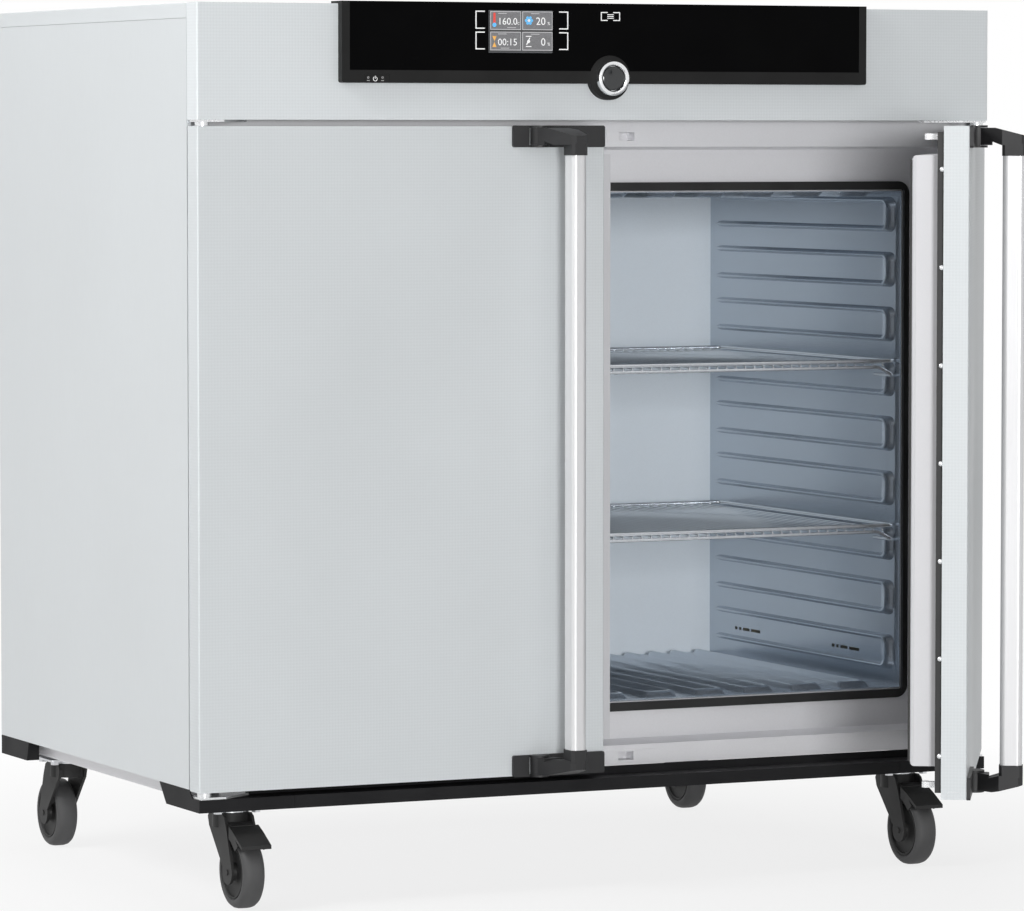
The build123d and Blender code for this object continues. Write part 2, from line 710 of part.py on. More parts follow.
def insulation():
    """Mineral wool slabs on five sides of the chamber."""
    front_y = RECESS_Y + FRAME_SHEET_T + WOOL_SIDE_CLEAR
    mid_y = WALL_BACK_Y + WOOL_GAP
    rear_y = REAR_SKIN_Y - 2 * SHEET_T - SHEET_GAP * 2
    wool_x = INNER_HALF_W - WOOL_SIDE_CLEAR
    inner_x = CHAMBER_OUT_W / 2 + ROD_SEAT + ROD_W + SEAT_GAP
    low_z = SIDE_BOTTOM_Z + 8
    high_z = HEADER_BOTTOM - 14
    floor_z = FLOOR_UNDER_Z - ROD_SEAT - ROD_W - SEAT_GAP
    ceiling_z = CEILING_OVER_Z + ROD_SEAT + ROD_W + SEAT_GAP
    side = block(inner_x, wool_x, front_y, mid_y, low_z, high_z)
    under = block(-inner_x + SEAT_GAP, inner_x - SEAT_GAP, front_y, mid_y, low_z, floor_z)
    over = block(-inner_x + SEAT_GAP, inner_x - SEAT_GAP, front_y, mid_y, ceiling_z, high_z)
    rear = block(-wool_x, wool_x, mid_y + SEAT_GAP, rear_y, low_z, high_z)
    rear -= rod_y(0, mid_y - 1, rear_y + 1, FAN_Z, MOTOR_D + 2)
    rear -= rod_y(OUTLET_X, mid_y - 1, rear_y + 1, OUTLET_Z, OUTLET_D + 2)
    rear -= rod_y(GLAND_X, rear_y - 2 * GLAND_L, rear_y + 1, GLAND_Z, GLAND_D + 8)
    return group([side, mirrored(side), under, over, rear])


# Base

def plinth():
    """Black plinth: three front strips and two rear corner caps."""
    joint = HALF_W - PLINTH_JOINT_INSET
    seam = SHEET_GAP / 2

    def strip(x0, x1):
        face = block(x0, x1, 0, PLINTH_T, CASTER_H, PLINTH_TOP)
        shelf = block(x0, x1, 0, FRAME_Y, PLINTH_TOP - PLINTH_T, PLINTH_TOP)
        low_lip = block(x0, x1, 0, 14, CASTER_H, CASTER_H + PLINTH_T)
        return face + shelf + low_lip

    centre = strip(-joint + seam, joint - seam)
    lip_top = SIDE_BOTTOM_Z - SEAT_GAP
    centre += block(
        -joint + seam, joint - seam, FRAME_Y - PLINTH_T, FRAME_Y, PLINTH_TOP - PLINTH_T, lip_top
    )
    corner = strip(joint + seam, HALF_W)
    corner += block(
        joint + seam, HALF_W - HINGE_PLATE_L, FRAME_Y - PLINTH_T, FRAME_Y, PLINTH_TOP - PLINTH_T, lip_top
    )
    cheek = (
        (0, CASTER_H),
        (0, PLINTH_TOP),
        (DOOR_T - 8, PLINTH_TOP),
        (SIDE_FRONT_Y, lip_top),
        (CAP_SIDE_TOP, lip_top),
        (CAP_SIDE_BOTTOM, CASTER_H),
    )
    corner += yz_plate(cheek, HALF_W - PLINTH_T, HALF_W)
    start = DEPTH - REAR_CAP_L
    rear_cheek = (
        (start - REAR_CAP_SLANT, lip_top),
        (DEPTH, lip_top),
        (DEPTH, CASTER_H + 1),
        (start, CASTER_H + 1),
    )
    rear = yz_plate(rear_cheek, HALF_W - PLINTH_T, HALF_W)
    rear += block(HALF_W - REAR_CAP_L, HALF_W, DEPTH - PLINTH_T, DEPTH, CASTER_H + 1, lip_top)
    rear += block(
        HALF_W - REAR_CAP_RETURN + 2, HALF_W, start, start + PLINTH_T, CASTER_H + 1, lip_top
    )
    return group([centre, corner, mirrored(corner), rear, mirrored(rear)])


def tube_y(x0, x1, y0, y1, z0, z1):
    """Square tube along Y."""
    inner = block(x0 + RAIL_WALL, x1 - RAIL_WALL, y0 - 1, y1 + 1, z0 + RAIL_WALL, z1 - RAIL_WALL)
    return block(x0, x1, y0, y1, z0, z1) - inner


def chassis():
    """Welded base frame: two side rails, two cross rails over the casters and a floor sheet."""
    top_z = SIDE_BOTTOM_Z
    x_out = HALF_W - RAIL_INSET
    x_in = x_out - RAIL_W
    rail_y0, rail_y1 = FRAME_Y + FRAME_SHEET_T, DEPTH - PLINTH_T - SHEET_GAP
    rail = tube_y(x_in, x_out, rail_y0, rail_y1, RAIL_BOTTOM_Z, top_z)
    frame = rail + mirrored(rail)
    for y in (CASTER_Y, DEPTH - CASTER_Y):
        y0, y1 = y - CROSS_RAIL_W / 2, y + CROSS_RAIL_W / 2
        y0 = max(y0, PLINTH_T + 14)
        y1 = min(y1, rail_y1)
        beam = block(-x_in, x_in, y0, y1, CASTER_H, top_z - 14)
        beam -= block(-x_in - 1, x_in + 1, y0 + RAIL_WALL, y1 - RAIL_WALL, CASTER_H + RAIL_WALL, top_z)
        frame += beam
    x_floor = INNER_HALF_W - SHEET_GAP
    floor_y1 = REAR_SKIN_Y - 2 * SHEET_GAP - SHEET_T
    frame += block(-x_floor, x_floor, rail_y0, floor_y1, top_z, top_z + SHEET_T)
    return frame


def caster_place(column, row):
    """X and Y of one caster's swivel axis: column -1 left or 1 right, row -1 front or 1 rear."""
    inset = CASTER_INSET_LEFT if column < 0 else CASTER_INSET_RIGHT
    x = column * (HALF_W - inset)
    y = CASTER_Y if row < 0 else DEPTH - CASTER_Y
    return x, y


def caster_places():
    """The four casters by name."""
    return {
        "front_left": (-1, -1),
        "front_right": (1, -1),
        "rear_left": (-1, 1),
        "rear_right": (1, 1),
    }


def caster_plate(x, y):
    """Caster mounting plate with its bolt heads, bearing race and kingpin."""
    half = CASTER_PLATE_L / 2
    bottom = CASTER_H - CASTER_PLATE_T
    plate = block(x - half, x + half, y - half, y + half, bottom, CASTER_H)
    plate = fillet(plate.edges().filter_by(Axis.Z), 5)
    for dx in (-CASTER_BOLT_X / 2, CASTER_BOLT_X / 2):
        for dy in (-CASTER_BOLT_Y / 2, CASTER_BOLT_Y / 2):
            head = extrude(RegularPolygon(CASTER_BOLT_D / 2, 6), CASTER_BOLT_H + 1)
            plate += Pos(x + dx, y + dy, bottom - CASTER_BOLT_H) * head
    crown_top = crown_top_z()
    plate += rod_z(x, y, crown_top + SEAT_GAP, bottom + 1, RACE_D - 2)
    plate += rod_z(x, y, crown_top - CROWN_H + 4, bottom, KINGPIN_D)
    return plate


def crown_top_z():
    """Height of the top of a caster fork."""
    return CASTER_H - CASTER_PLATE_T - CASTER_BOLT_H - SEAT_GAP


def caster_plates():
    """The four fixed plates."""
    plates = []
    for column, row in caster_places().values():
        plates.append(caster_plate(*caster_place(column, row)))
    return group(plates)


def caster_turn(column, row):
    """Placement of a caster drawn with its swivel axis on Z and its wheel towards -Y."""
    x, y = caster_place(column, row)
    angle = 0 if row < 0 else 180
    return Pos(x, y, 0) * Rot(0, 0, angle)


def caster_fork():
    """Fork with a round crown, two tapering cheeks and its axle bolt."""
    top = crown_top_z()
    inner_x = WHEEL_W / 2 + CHEEK_GAP
    outer_x = inner_x + CHEEK_T
    crown_bottom = top - CROWN_H
    outline = make_face(
        Polyline(
            (CROWN_BACK - 6, top),
            (CROWN_BACK, top - 8),
            (CROWN_BACK - 4, crown_bottom),
            (-TRAIL + CHEEK_END_R * 0.94, WHEEL_R + CHEEK_END_R * 0.34),
            (-TRAIL, WHEEL_R),
            (-TRAIL - CHEEK_END_R * 0.98, WHEEL_R + CHEEK_END_R * 0.2),
            (-CROWN_FRONT - 4, crown_bottom),
            (-CROWN_FRONT + 4, top - 4),
            (-CROWN_FRONT + 12, top),
            close=True,
        )
    )
    outline += Pos(-TRAIL, WHEEL_R) * Circle(CHEEK_END_R)
    cheek = extrude(Plane.YZ.offset(inner_x) * outline, CHEEK_T)
    fork = cheek + mirrored(cheek)
    crown = block(-outer_x, outer_x, -CROWN_FRONT + 18, CROWN_BACK - 6, crown_bottom, top)
    crown += rod_z(0, 0, crown_bottom, top, 2 * CROWN_BACK - 4)
    fork += crown
    fork -= rod_z(0, 0, crown_bottom - 1, top + 1, KINGPIN_D + 2 * RUNNING_GAP)
    fork += rod_x(-outer_x - 1.5, outer_x + 1.5, -TRAIL, WHEEL_R, AXLE_D)
    return fork


def brake_fork():
    """Front fork, with the cross pin that carries the brake pedal."""
    inner_x = WHEEL_W / 2 + CHEEK_GAP
    pin = rod_x(-inner_x - 1, inner_x + 1, -PEDAL_PIN_Y, PEDAL_PIN_Z, PEDAL_PIN_D)
    return caster_fork() + pin


def caster_wheel():
    """Wheel with a rounded tread, dished sides and a bored hub."""
    half = WHEEL_W / 2
    hub_x = half + CHEEK_GAP - SEAT_GAP
    bore_r = AXLE_D / 2 + RUNNING_GAP
    hub_r = WHEEL_HUB_D / 2
    dish_r = WHEEL_DISH_D / 2
    side = [
        (hub_x, bore_r),
        (hub_x, hub_r),
        (half - WHEEL_DISH_DEPTH, hub_r + WHEEL_DISH_DEPTH),
        (half - WHEEL_DISH_DEPTH, dish_r),
        (half, dish_r),
        (half, WHEEL_R - WHEEL_EDGE_R),
        (half - WHEEL_EDGE_R / 3, WHEEL_R - WHEEL_EDGE_R / 3),
        (half - WHEEL_EDGE_R, WHEEL_R),
    ]
    profile = make_face(Polyline(*side, *[(-x, r) for x, r in reversed(side)], close=True))
    wheel = revolve(profile, Axis.X)
    return Pos(0, -TRAIL, WHEEL_R) * wheel


def brake_pedal():
    """Brake pedal: a bored knuckle between the cheeks and a wide tread plate over the wheel."""
    y0, z0 = -PEDAL_PIN_Y, PEDAL_PIN_Z
    neck_x = WHEEL_W / 2 + CHEEK_GAP - SEAT_GAP
    wide_y = -CROWN_FRONT - 12
    tip_y = y0 - PEDAL_L
    tip_z = z0 - PEDAL_DROP + 6
    top_line = ((wide_y, z0 + 3), (wide_y - 18, z0 - 5), (tip_y, tip_z + PEDAL_T))
    neck = yz_plate(
        ((y0, z0 + 6), (wide_y - 2, z0 + 3), (wide_y - 2, z0 + 3 - PEDAL_T), (y0, z0 - 4)), -neck_x, neck_x
    )
    neck += rod_x(-neck_x, neck_x, y0, z0, PEDAL_PIN_D + 6)
    plate = yz_plate(
        top_line
        + ((tip_y, tip_z), (wide_y - 18, z0 - 5 - PEDAL_T), (wide_y, z0 + 3 - PEDAL_T)),
        -PEDAL_W / 2,
        PEDAL_W / 2,
    )
    skirt = yz_plate(
        ((wide_y, z0), (wide_y - 18, z0 - 8), (tip_y + 14, tip_z + 4), (tip_y + 24, tip_z - 4),
         (wide_y - 8, z0 - 18), (wide_y, z0 - 14)),
        PEDAL_W / 2 - 2.5,
        PEDAL_W / 2,
    )
    pedal = neck + plate + skirt + mirrored(skirt)
    return pedal - rod_x(-neck_x - 1, neck_x + 1, y0, z0, PEDAL_PIN_D + 2 * RUNNING_GAP)


# Doors. Each is drawn closed, as the left door, with its free edge near the centre plane.

def left_door_shell():
    """Folded door shell with a window in its back, and holes for the hinge pins."""
    x0, x1 = -HALF_W, -DOOR_FREE
    shell = block(x0, x1, 0, DOOR_T, DOOR_BOTTOM, DOOR_TOP)
    shell = fillet(shell.edges().filter_by(Axis.Z).sort_by(Axis.Y)[:2], DOOR_EDGE_R)
    t = DOOR_SKIN_T
    shell -= block(x0 + t, x1 - t, t, DOOR_T - t, DOOR_BOTTOM + t, DOOR_TOP - t)
    lip = DOOR_LIP_W
    shell -= block(x0 + lip, x1 - lip, DOOR_T - 2 * t, DOOR_T + 1, DOOR_BOTTOM + lip, DOOR_TOP - lip)
    shell -= latch_slots(DOOR_T - 2 * t, DOOR_T + 1)
    hole_d = HINGE_PIN_D + 2
    return shell - rod_z(-HINGE_X, HINGE_INSET, DOOR_BOTTOM - 1, DOOR_TOP + 1, hole_d)


def latch_slots(y0, y1):
    """The two slots in a door's back in which the latch fingers swing."""
    x = -DOOR_FREE - LATCH_INSET
    half = LATCH_T / 2 + SEAT_GAP
    slots = [block(x - 14, x + 21, y0, y1, z - half, z + half) for z in (LATCH_TOP_Z, LATCH_BOTTOM_Z)]
    return slots[0] + slots[1]


def left_bearings():
    """Bored blocks in the shell: two that turn on the hinge pins, two that carry the latches."""
    t = DOOR_SKIN_T
    x0 = -HALF_W + t
    x1 = -HINGE_X + HINGE_BOSS_D
    y0, y1 = t, HINGE_INSET * 2 - t
    bore_d = HINGE_PIN_D + 2 * RUNNING_GAP
    bushes = []
    for z0, z1 in (
        (DOOR_BOTTOM + t, DOOR_BOTTOM + t + HINGE_BUSH_L),
        (DOOR_TOP - t - HINGE_BUSH_L, DOOR_TOP - t),
    ):
        bush = block(x0, x1, y0, y1, z0, z1)
        bush = fillet(bush.edges().filter_by(Axis.Z).sort_by(Axis.X)[:2], DOOR_EDGE_R)
        bushes.append(bush - rod_z(-HINGE_X, HINGE_INSET, z0 - 1, z1 + 1, bore_d))
    x = -DOOR_FREE - LATCH_INSET
    half_w = LATCH_BLOCK_W / 2
    half_h = LATCH_SPINDLE_L / 2
    slot = LATCH_T / 2 + SEAT_GAP
    bore_d = LATCH_SPINDLE_D + 2 * RUNNING_GAP
    for z in (LATCH_TOP_Z, LATCH_BOTTOM_Z):
        carrier = block(x - half_w, x + half_w, t, LATCH_AXIS_Y + half_w - 1, z - half_h, z + half_h)
        carrier -= block(x - 12, x + 12, LATCH_AXIS_Y - 7, DOOR_T, z - slot, z + slot)
        bushes.append(carrier - rod_z(x, LATCH_AXIS_Y, z - half_h - 1, z + half_h + 1, bore_d))
    return group(bushes)


def plug_sides(free_x):
    """Left, right, bottom and top of a door's inner plug."""
    return -HALF_W + PLUG_HINGE_MARGIN, free_x, PLUG_BOTTOM, PLUG_TOP


def door_plug(free_x):
    """Inner door panel: a folded tray with round edges and a narrow lip against the strip."""
    x0, x1, z0, z1 = plug_sides(free_x)
    plug = block(x0, x1, STRIP_Y, PLUG_BACK_Y, z0, z1)
    back_edges = plug.edges().group_by(Axis.Y)[-1]
    plug = fillet(back_edges, PLUG_EDGE_R)
    t = DOOR_SKIN_T
    hollow = block(x0 + t, x1 - t, STRIP_Y + t, PLUG_BACK_Y - t, z0 + t, z1 - t)
    plug -= fillet(hollow.edges().group_by(Axis.Y)[-1], PLUG_EDGE_R - t)
    lip = PLUG_LIP_W
    window_x1 = min(x1, -DOOR_FREE - EDGE_STRIP_INSET) - lip - LATCH_FINGER_W
    return plug - block(x0 + lip, window_x1, STRIP_Y - 1, STRIP_Y + 2 * t, z0 + lip, z1 - lip)


def door_seals(free_x):
    """Black edge strip between shell and plug, and the flat seal on the plug's back."""
    x0, x1, z0, z1 = plug_sides(free_x)
    inset = EDGE_STRIP_INSET
    strip_x1 = -DOOR_FREE - inset
    strip_y1 = STRIP_Y - STRIP_SEAT
    strip = block(-HALF_W + inset, strip_x1, DOOR_T, strip_y1, DOOR_BOTTOM + inset, DOOR_TOP - inset)
    lip = PLUG_LIP_W
    strip -= block(
        x0 + lip, min(x1, strip_x1) - lip - LATCH_FINGER_W, DOOR_T - 1, STRIP_Y + 1, z0 + lip, z1 - lip
    )
    strip -= latch_slots(DOOR_T - 1, STRIP_Y + 1)
    margin = PLUG_EDGE_R
    seal = block(
        x0 + margin, x1 - margin, PLUG_BACK_Y, PLUG_BACK_Y + PLUG_SEAL_T, z0 + margin, z1 - margin
    )
    inner = margin + PLUG_SEAL_W
    seal -= block(
        x0 + inner, x1 - inner, PLUG_BACK_Y - 1, PLUG_BACK_Y + PLUG_SEAL_T + 1, z0 + inner, z1 - inner
    )
    return group([strip, seal])


def door_core(free_x):
    """Mineral wool inside the shell and the plug."""
    gap = CORE_GAP + DOOR_SKIN_T
    shell_part = block(
        -HALF_W + gap, -DOOR_FREE - gap, gap, DOOR_T - gap, DOOR_BOTTOM + gap, DOOR_TOP - gap
    )
    x0, x1, z0, z1 = plug_sides(free_x)
    plug_part = block(x0 + gap, x1 - gap, STRIP_Y + gap, PLUG_BACK_Y - gap, z0 + gap, z1 - gap)
    plug_part = fillet(plug_part.edges().group_by(Axis.Y)[-1], PLUG_EDGE_R - 1)
    neck_x1 = min(x1, -DOOR_FREE - EDGE_STRIP_INSET) - PLUG_LIP_W - LATCH_FINGER_W - CORE_GAP
    lip = PLUG_LIP_W + CORE_GAP
    neck = block(x0 + lip, neck_x1, DOOR_T - 2 * gap, STRIP_Y + 2 * gap, z0 + lip, z1 - lip)
    core = shell_part + plug_part + neck
    bush_x = -HINGE_X + HINGE_BOSS_D + CORE_GAP
    for z0, z1 in ((DOOR_BOTTOM, DOOR_BOTTOM + HINGE_BUSH_L + 3), (DOOR_TOP - HINGE_BUSH_L - 3, DOOR_TOP)):
        core -= block(-HALF_W, bush_x, 0, DOOR_T, z0, z1)
    latch_x = -DOOR_FREE - LATCH_INSET
    for z in (LATCH_TOP_Z, LATCH_BOTTOM_Z):
        core -= block(latch_x - 22, latch_x + 22, 0, DOOR_T, z - 13, z + 13)
    return core


def cap_range(top):
    """Lower and upper edge of a corner cap."""
    if top:
        return DOOR_TOP + 1 - CAP_H, DOOR_TOP + 1
    return DOOR_BOTTOM - 1, DOOR_BOTTOM - 1 + CAP_H


def left_cap(top):
    """Black corner cap on the door's face, with two round lugs and a pin for the handle arm."""
    z0, z1 = cap_range(top)
    x1 = -DOOR_FREE - CAP_FREE_INSET + 2
    x0 = x1 - CAP_W
    hub_x = -DOOR_FREE - HUB_INSET
    cap = block(x0, x1, -CAP_T, 0, z0, z1)
    cap = fillet(cap.edges().filter_by(Axis.Y), 3)
    window = HUB_D / 2 + 1
    cap -= block(hub_x - window, hub_x + window, -CAP_T - 1, 1, z0 + HUB_LUG_T, z1 - HUB_LUG_T)
    for low, high in ((z0, z0 + HUB_LUG_T), (z1 - HUB_LUG_T, z1)):
        lug = rod_z(hub_x, HUB_AXIS_Y, low, high, HUB_D)
        cap += lug & block(hub_x - HUB_D, hub_x + HUB_D, -HUB_D * 2, 0, low, high)
    return cap + rod_z(hub_x, HUB_AXIS_Y, z0, z1, HUB_PIN_D)


def left_caps():
    """Top and bottom corner caps."""
    return group([left_cap(True), left_cap(False)])


def left_arm(top):
    """Handle arm: a hub that turns on the cap's pin and a stout arm to the end of the bar."""
    z0, z1 = cap_range(top)
    z0 += HUB_LUG_T + SEAT_GAP
    z1 -= HUB_LUG_T + SEAT_GAP
    hub_x = -DOOR_FREE - HUB_INSET
    bar_x = -DOOR_FREE - BAR_INSET
    hub = rod_z(hub_x, HUB_AXIS_Y, z0, z1, HUB_D)
    limit = block(hub_x - HUB_D, hub_x + HUB_D, -SEAT_GAP * 2, HUB_D, z0 - 1, z1 + 1)
    hub -= limit
    turned = Pos(hub_x, HUB_AXIS_Y, 0) * Rot(0, 0, HANDLE_SWING) * Pos(-hub_x, -HUB_AXIS_Y, 0)
    hub -= turned * limit
    end_x0, end_x1 = bar_x - BAR_W / 2 - 1, bar_x + BAR_W / 2 + 1
    end_y0, end_y1 = BAR_AXIS_Y - BAR_D / 2 - 1, BAR_AXIS_Y + BAR_D / 2 + 1
    arm = xy_plate(
        (
            (hub_x - HUB_D * 0.3, HUB_AXIS_Y - HUB_D * 0.4),
            (end_x0, end_y0 + 6),
            (end_x0 + 6, end_y0),
            (end_x1 - 6, end_y0),
            (end_x1, end_y0 + 6),
            (end_x1, end_y1),
            (hub_x + HUB_D * 0.45, HUB_AXIS_Y - HUB_D * 0.15),
            (hub_x, HUB_AXIS_Y),
        ),
        z0,
        z1,
    )
    bar_end = bar_z_range()[1] if top else bar_z_range()[0]
    inner_z, outer_z, up = (z0, z1, 1) if top else (z1, z0, -1)
    end = block(end_x0, end_x1, end_y0, end_y1, *sorted((bar_end, inner_z + 2 * up)))
    end = chamfer(end.edges().filter_by(Axis.Z), ARM_EDGE)
    wide_x0, wide_x1 = end_x0 - HUB_D * 2, end_x1 + HUB_D * 2
    slope = yz_plate(
        (
            (-HUB_D, outer_z + up),
            (end_y0 - 1, outer_z + up),
            (end_y0 - 1, outer_z - ARM_SLOPE * up),
        ),
        wide_x0,
        wide_x1,
    )
    lift = yz_plate(
        ((-HUB_D, inner_z - up), (end_y1 - 2, inner_z - up), (-HUB_D, inner_z + ARM_LIFT * up)),
        wide_x0,
        wide_x1,
    )
    body = hub + (arm - slope - lift) + end
    return body - rod_z(hub_x, HUB_AXIS_Y, z0 - 1, z1 + 1, HUB_PIN_D + 2 * RUNNING_GAP)


def bar_z_range():
    """Lower and upper end of the handle bars."""
    low = cap_range(False)[1] + BAR_END_GAP
    high = cap_range(True)[0] - BAR_END_GAP
    return low, high


def left_arms():
    """Upper and lower handle arm."""
    return group([left_arm(True), left_arm(False)])


def left_bar():
    """Round-edged handle bar between the two arms."""
    low, high = bar_z_range()
    profile = RectangleRounded(BAR_W, BAR_D, BAR_R)
    placed = Plane.XY.offset(low) * Pos(-DOOR_FREE - BAR_INSET, BAR_AXIS_Y) * profile
    return extrude(placed, high - low)


def left_latches():
    """Two latch fingers on upright spindles, which reach back through the edge strip."""
    x = -DOOR_FREE - LATCH_INSET
    half_w = LATCH_FINGER_W / 2
    fingers = []
    for z in (LATCH_TOP_Z, LATCH_BOTTOM_Z):
        low, high = z - LATCH_T / 2, z + LATCH_T / 2
        finger = xy_plate(
            (
                (x - half_w, LATCH_AXIS_Y),
                (x - half_w, LATCH_REACH - 10),
                (x - half_w - LATCH_NOSE, LATCH_REACH - 8),
                (x - half_w - LATCH_NOSE, LATCH_REACH - 3),
                (x - half_w + 1, LATCH_REACH),
                (x + half_w - 2, LATCH_REACH),
                (x + half_w, LATCH_REACH - 3),
                (x + half_w, LATCH_AXIS_Y),
            ),
            low,
            high,
        )
        half_l = LATCH_SPINDLE_L / 2
        finger += rod_z(x, LATCH_AXIS_Y, z - half_l, z + half_l, LATCH_SPINDLE_D)
        fingers.append(finger)
    return group(fingers)


def right_closed(shape):
    """Mirror a left door piece to the closed right door."""
    return mirrored(shape)


def right_open(shape):
    """Swing a piece of the closed right door to the place where the door stands open."""
    turn = Pos(HINGE_X, HINGE_INSET, 0) * Rot(0, 0, RIGHT_DOOR_OPEN) * Pos(-HINGE_X, -HINGE_INSET, 0)
    return turn * shape


def door_set(side):
    """All pieces of one door, its handle and its latches, by node name."""
    if side == "left":
        free_x = ASTRAGAL_REACH
        place = lambda shape: shape
    else:
        free_x = -ASTRAGAL_REACH - ASTRAGAL_GAP
        place = lambda shape: right_open(right_closed(shape))
    drawn = {
        "door_shell": left_door_shell(),
        "door_core": door_core(free_x),
        "door_plug": door_plug(free_x),
        "door_seals": door_seals(free_x),
        "door_bearings": left_bearings(),
        "corner_caps": left_caps(),
        "handle_bar": left_bar(),
        "handle_arms": left_arms(),
        "latches": left_latches(),
    }
    return {f"{side}_{name}": place(shape) for name, shape in drawn.items()}


# Shelves

def shelf_hook(x_in, x_out, y0, high_z, low_z):
    """Anti-tilt hook: the lower front rod slopes down and runs back under the wall's rib."""
    half = SHELF_HOOK_W / 2
    slope = (
        (x_in - half, high_z + half),
        (x_in + half, high_z + half),
        (x_out, low_z + half),
        (x_out, low_z - half),
        (x_out - SHELF_HOOK_W, low_z - half),
        (x_in - half, high_z - half),
    )
    outline = Plane.XZ.offset(-(y0 + half)) * make_face(Polyline(*slope, close=True))
    run = block(x_out - SHELF_HOOK_W, x_out, y0 - half, y0 + SHELF_HOOK_L, low_z - half, low_z + half)
    return extrude(outline, SHELF_HOOK_W) + run


def shelf(row):
    """Welded wire shelf: a bent frame rod, a lower front rod with end hooks, and cross wires."""
    rib_z = HAIRPIN_MID_Z + row * HAIRPIN_PITCH_Z + (HAIRPIN_H - RIB_W) / 2
    r = SHELF_ROD_D / 2
    flank_drop = SHELF_SIDE_GAP * math.tan(math.radians(RIB_TAPER))
    z = rib_z + RIB_W / 2 - flank_drop + RUNNING_GAP + r
    half = CHAMBER_W / 2 - SHELF_SIDE_GAP - r
    y0 = RECESS_Y + SHELF_FRONT + r
    y1 = y0 + SHELF_DEPTH
    middle = Pos(0, (y0 + y1) / 2)
    loop = middle * RectangleRounded(2 * half + 2 * r, SHELF_DEPTH + 2 * r, SHELF_CORNER_R)
    loop -= middle * RectangleRounded(2 * half - 2 * r, SHELF_DEPTH - 2 * r, SHELF_CORNER_R - 2 * r)
    frame = extrude(Plane.XY.offset(z - r) * loop, 2 * r)
    frame = chamfer(frame.edges().group_by(Axis.Z)[-1], SHELF_ROD_EDGE)
    low_z = z - r - SHELF_ROD_GAP - SHELF_HOOK_W / 2
    inner_x = half - SHELF_HOOK_RUN
    half_hook = SHELF_HOOK_W / 2
    frame += block(
        -inner_x, inner_x, y0 - half_hook, y0 + half_hook, low_z - half_hook, low_z + half_hook
    )
    hook = shelf_hook(inner_x, half + r, y0, low_z, low_z - SHELF_HOOK_DROP)
    frame += hook + mirrored(hook)
    count = int((2 * half - SHELF_PITCH) / SHELF_PITCH)
    half_wire = SHELF_WIRE_D / 2
    wires = []
    for index in range(count):
        x = (index - (count - 1) / 2) * SHELF_PITCH
        wires.append(
            block(x - half_wire, x + half_wire, y0 + r / 2, y1 - r / 2, z - half_wire, z + half_wire)
        )
    for end_x in (-inner_x, 0, inner_x):
        wires.append(
            block(end_x - half_hook, end_x + half_hook, y0 - half_wire, y0 + half_wire, low_z, z - r / 2)
        )
    return frame + wires


# Control panel

def cockpit_housing():
    """Black panel housing hooked over the header's top edge, with a round boss for the knob."""
    half = PANEL_W / 2
    plate = block(-half, half, -PANEL_PROUD, 0, PANEL_BOTTOM_Z, PANEL_TOP)
    lip = block(-half, half, 0, PANEL_LIP_L, HEIGHT, PANEL_TOP)
    housing = plate + lip
    housing = fillet(housing.edges().filter_by(Axis.Y).sort_by(Axis.Z)[:2], 3)
    boss = rod_y(0, -PANEL_PROUD, 0, KNOB_Z, KNOB_BOSS_D)
    housing += boss
    housing -= glass_blank(SEAT_GAP)
    housing += rod_y(0, -PANEL_PROUD - RING_WEB_T, -PANEL_PROUD, KNOB_Z, RING_BOSS_D)
    housing -= rod_y(0, -PANEL_PROUD - RING_WEB_T - 1, 1, KNOB_Z, KEY_STEM_D)
    half_key = POWER_KEY_W / 2 + SEAT_GAP
    key_top = PANEL_BOTTOM_Z + POWER_KEY_H + SEAT_GAP
    key_back = -PANEL_PROUD + POWER_KEY_DEPTH
    housing -= block(
        POWER_KEY_X - half_key, POWER_KEY_X + half_key, -PANEL_PROUD - 1, key_back,
        PANEL_BOTTOM_Z - 1, key_top,
    )
    stem_z = PANEL_BOTTOM_Z + POWER_KEY_H / 2
    housing -= rod_y(POWER_KEY_X, key_back - 1, 1, stem_z, POWER_STEM_D + 2 * RUNNING_GAP)
    return housing - display_block(SEAT_GAP)


def glass_blank(grow):
    """Glass plate's solid, grown by a gap for its pocket."""
    half = PANEL_W / 2 - PANEL_BORDER + grow
    bottom = PANEL_BOTTOM_Z + PANEL_GLASS_BOTTOM - grow
    glass = block(-half, half, -PANEL_PROUD, -PANEL_PROUD + PANEL_GLASS_T, bottom, PANEL_TOP + grow)
    return glass - rod_y(0, -PANEL_PROUD - 1, 0, KNOB_Z, KNOB_ARC_D - 2 * grow)


def display_block(grow):
    """Display module's solid, behind and through the glass."""
    half_w, half_h = DISPLAY_W / 2 + grow, DISPLAY_H / 2 + grow
    return block(
        DISPLAY_X - half_w, DISPLAY_X + half_w, -PANEL_PROUD, -SEAT_GAP, DISPLAY_Z - half_h,
        DISPLAY_Z + half_h,
    )


def cockpit_glass():
    """Gloss black front glass with a window for the display and an arc round the knob."""
    return glass_blank(0) - display_block(SEAT_GAP)


def control_unit():
    """Display module in the panel and the controller box behind the header."""
    box_y0 = SHEET_T + SEAT_GAP
    box_z1 = HEIGHT - SHEET_T - SEAT_GAP * 10
    box = block(-UNIT_W / 2, UNIT_W / 2, box_y0 + 10, box_y0 + UNIT_D + 10, box_z1 - UNIT_H, box_z1)
    for x in (-UNIT_W / 2 + 20, UNIT_W / 2 - 20):
        box += rod_y(x, box_y0 - SEAT_GAP, box_y0 + 11, box_z1 - UNIT_H / 2, 10)
    return group([display_block(0), box])


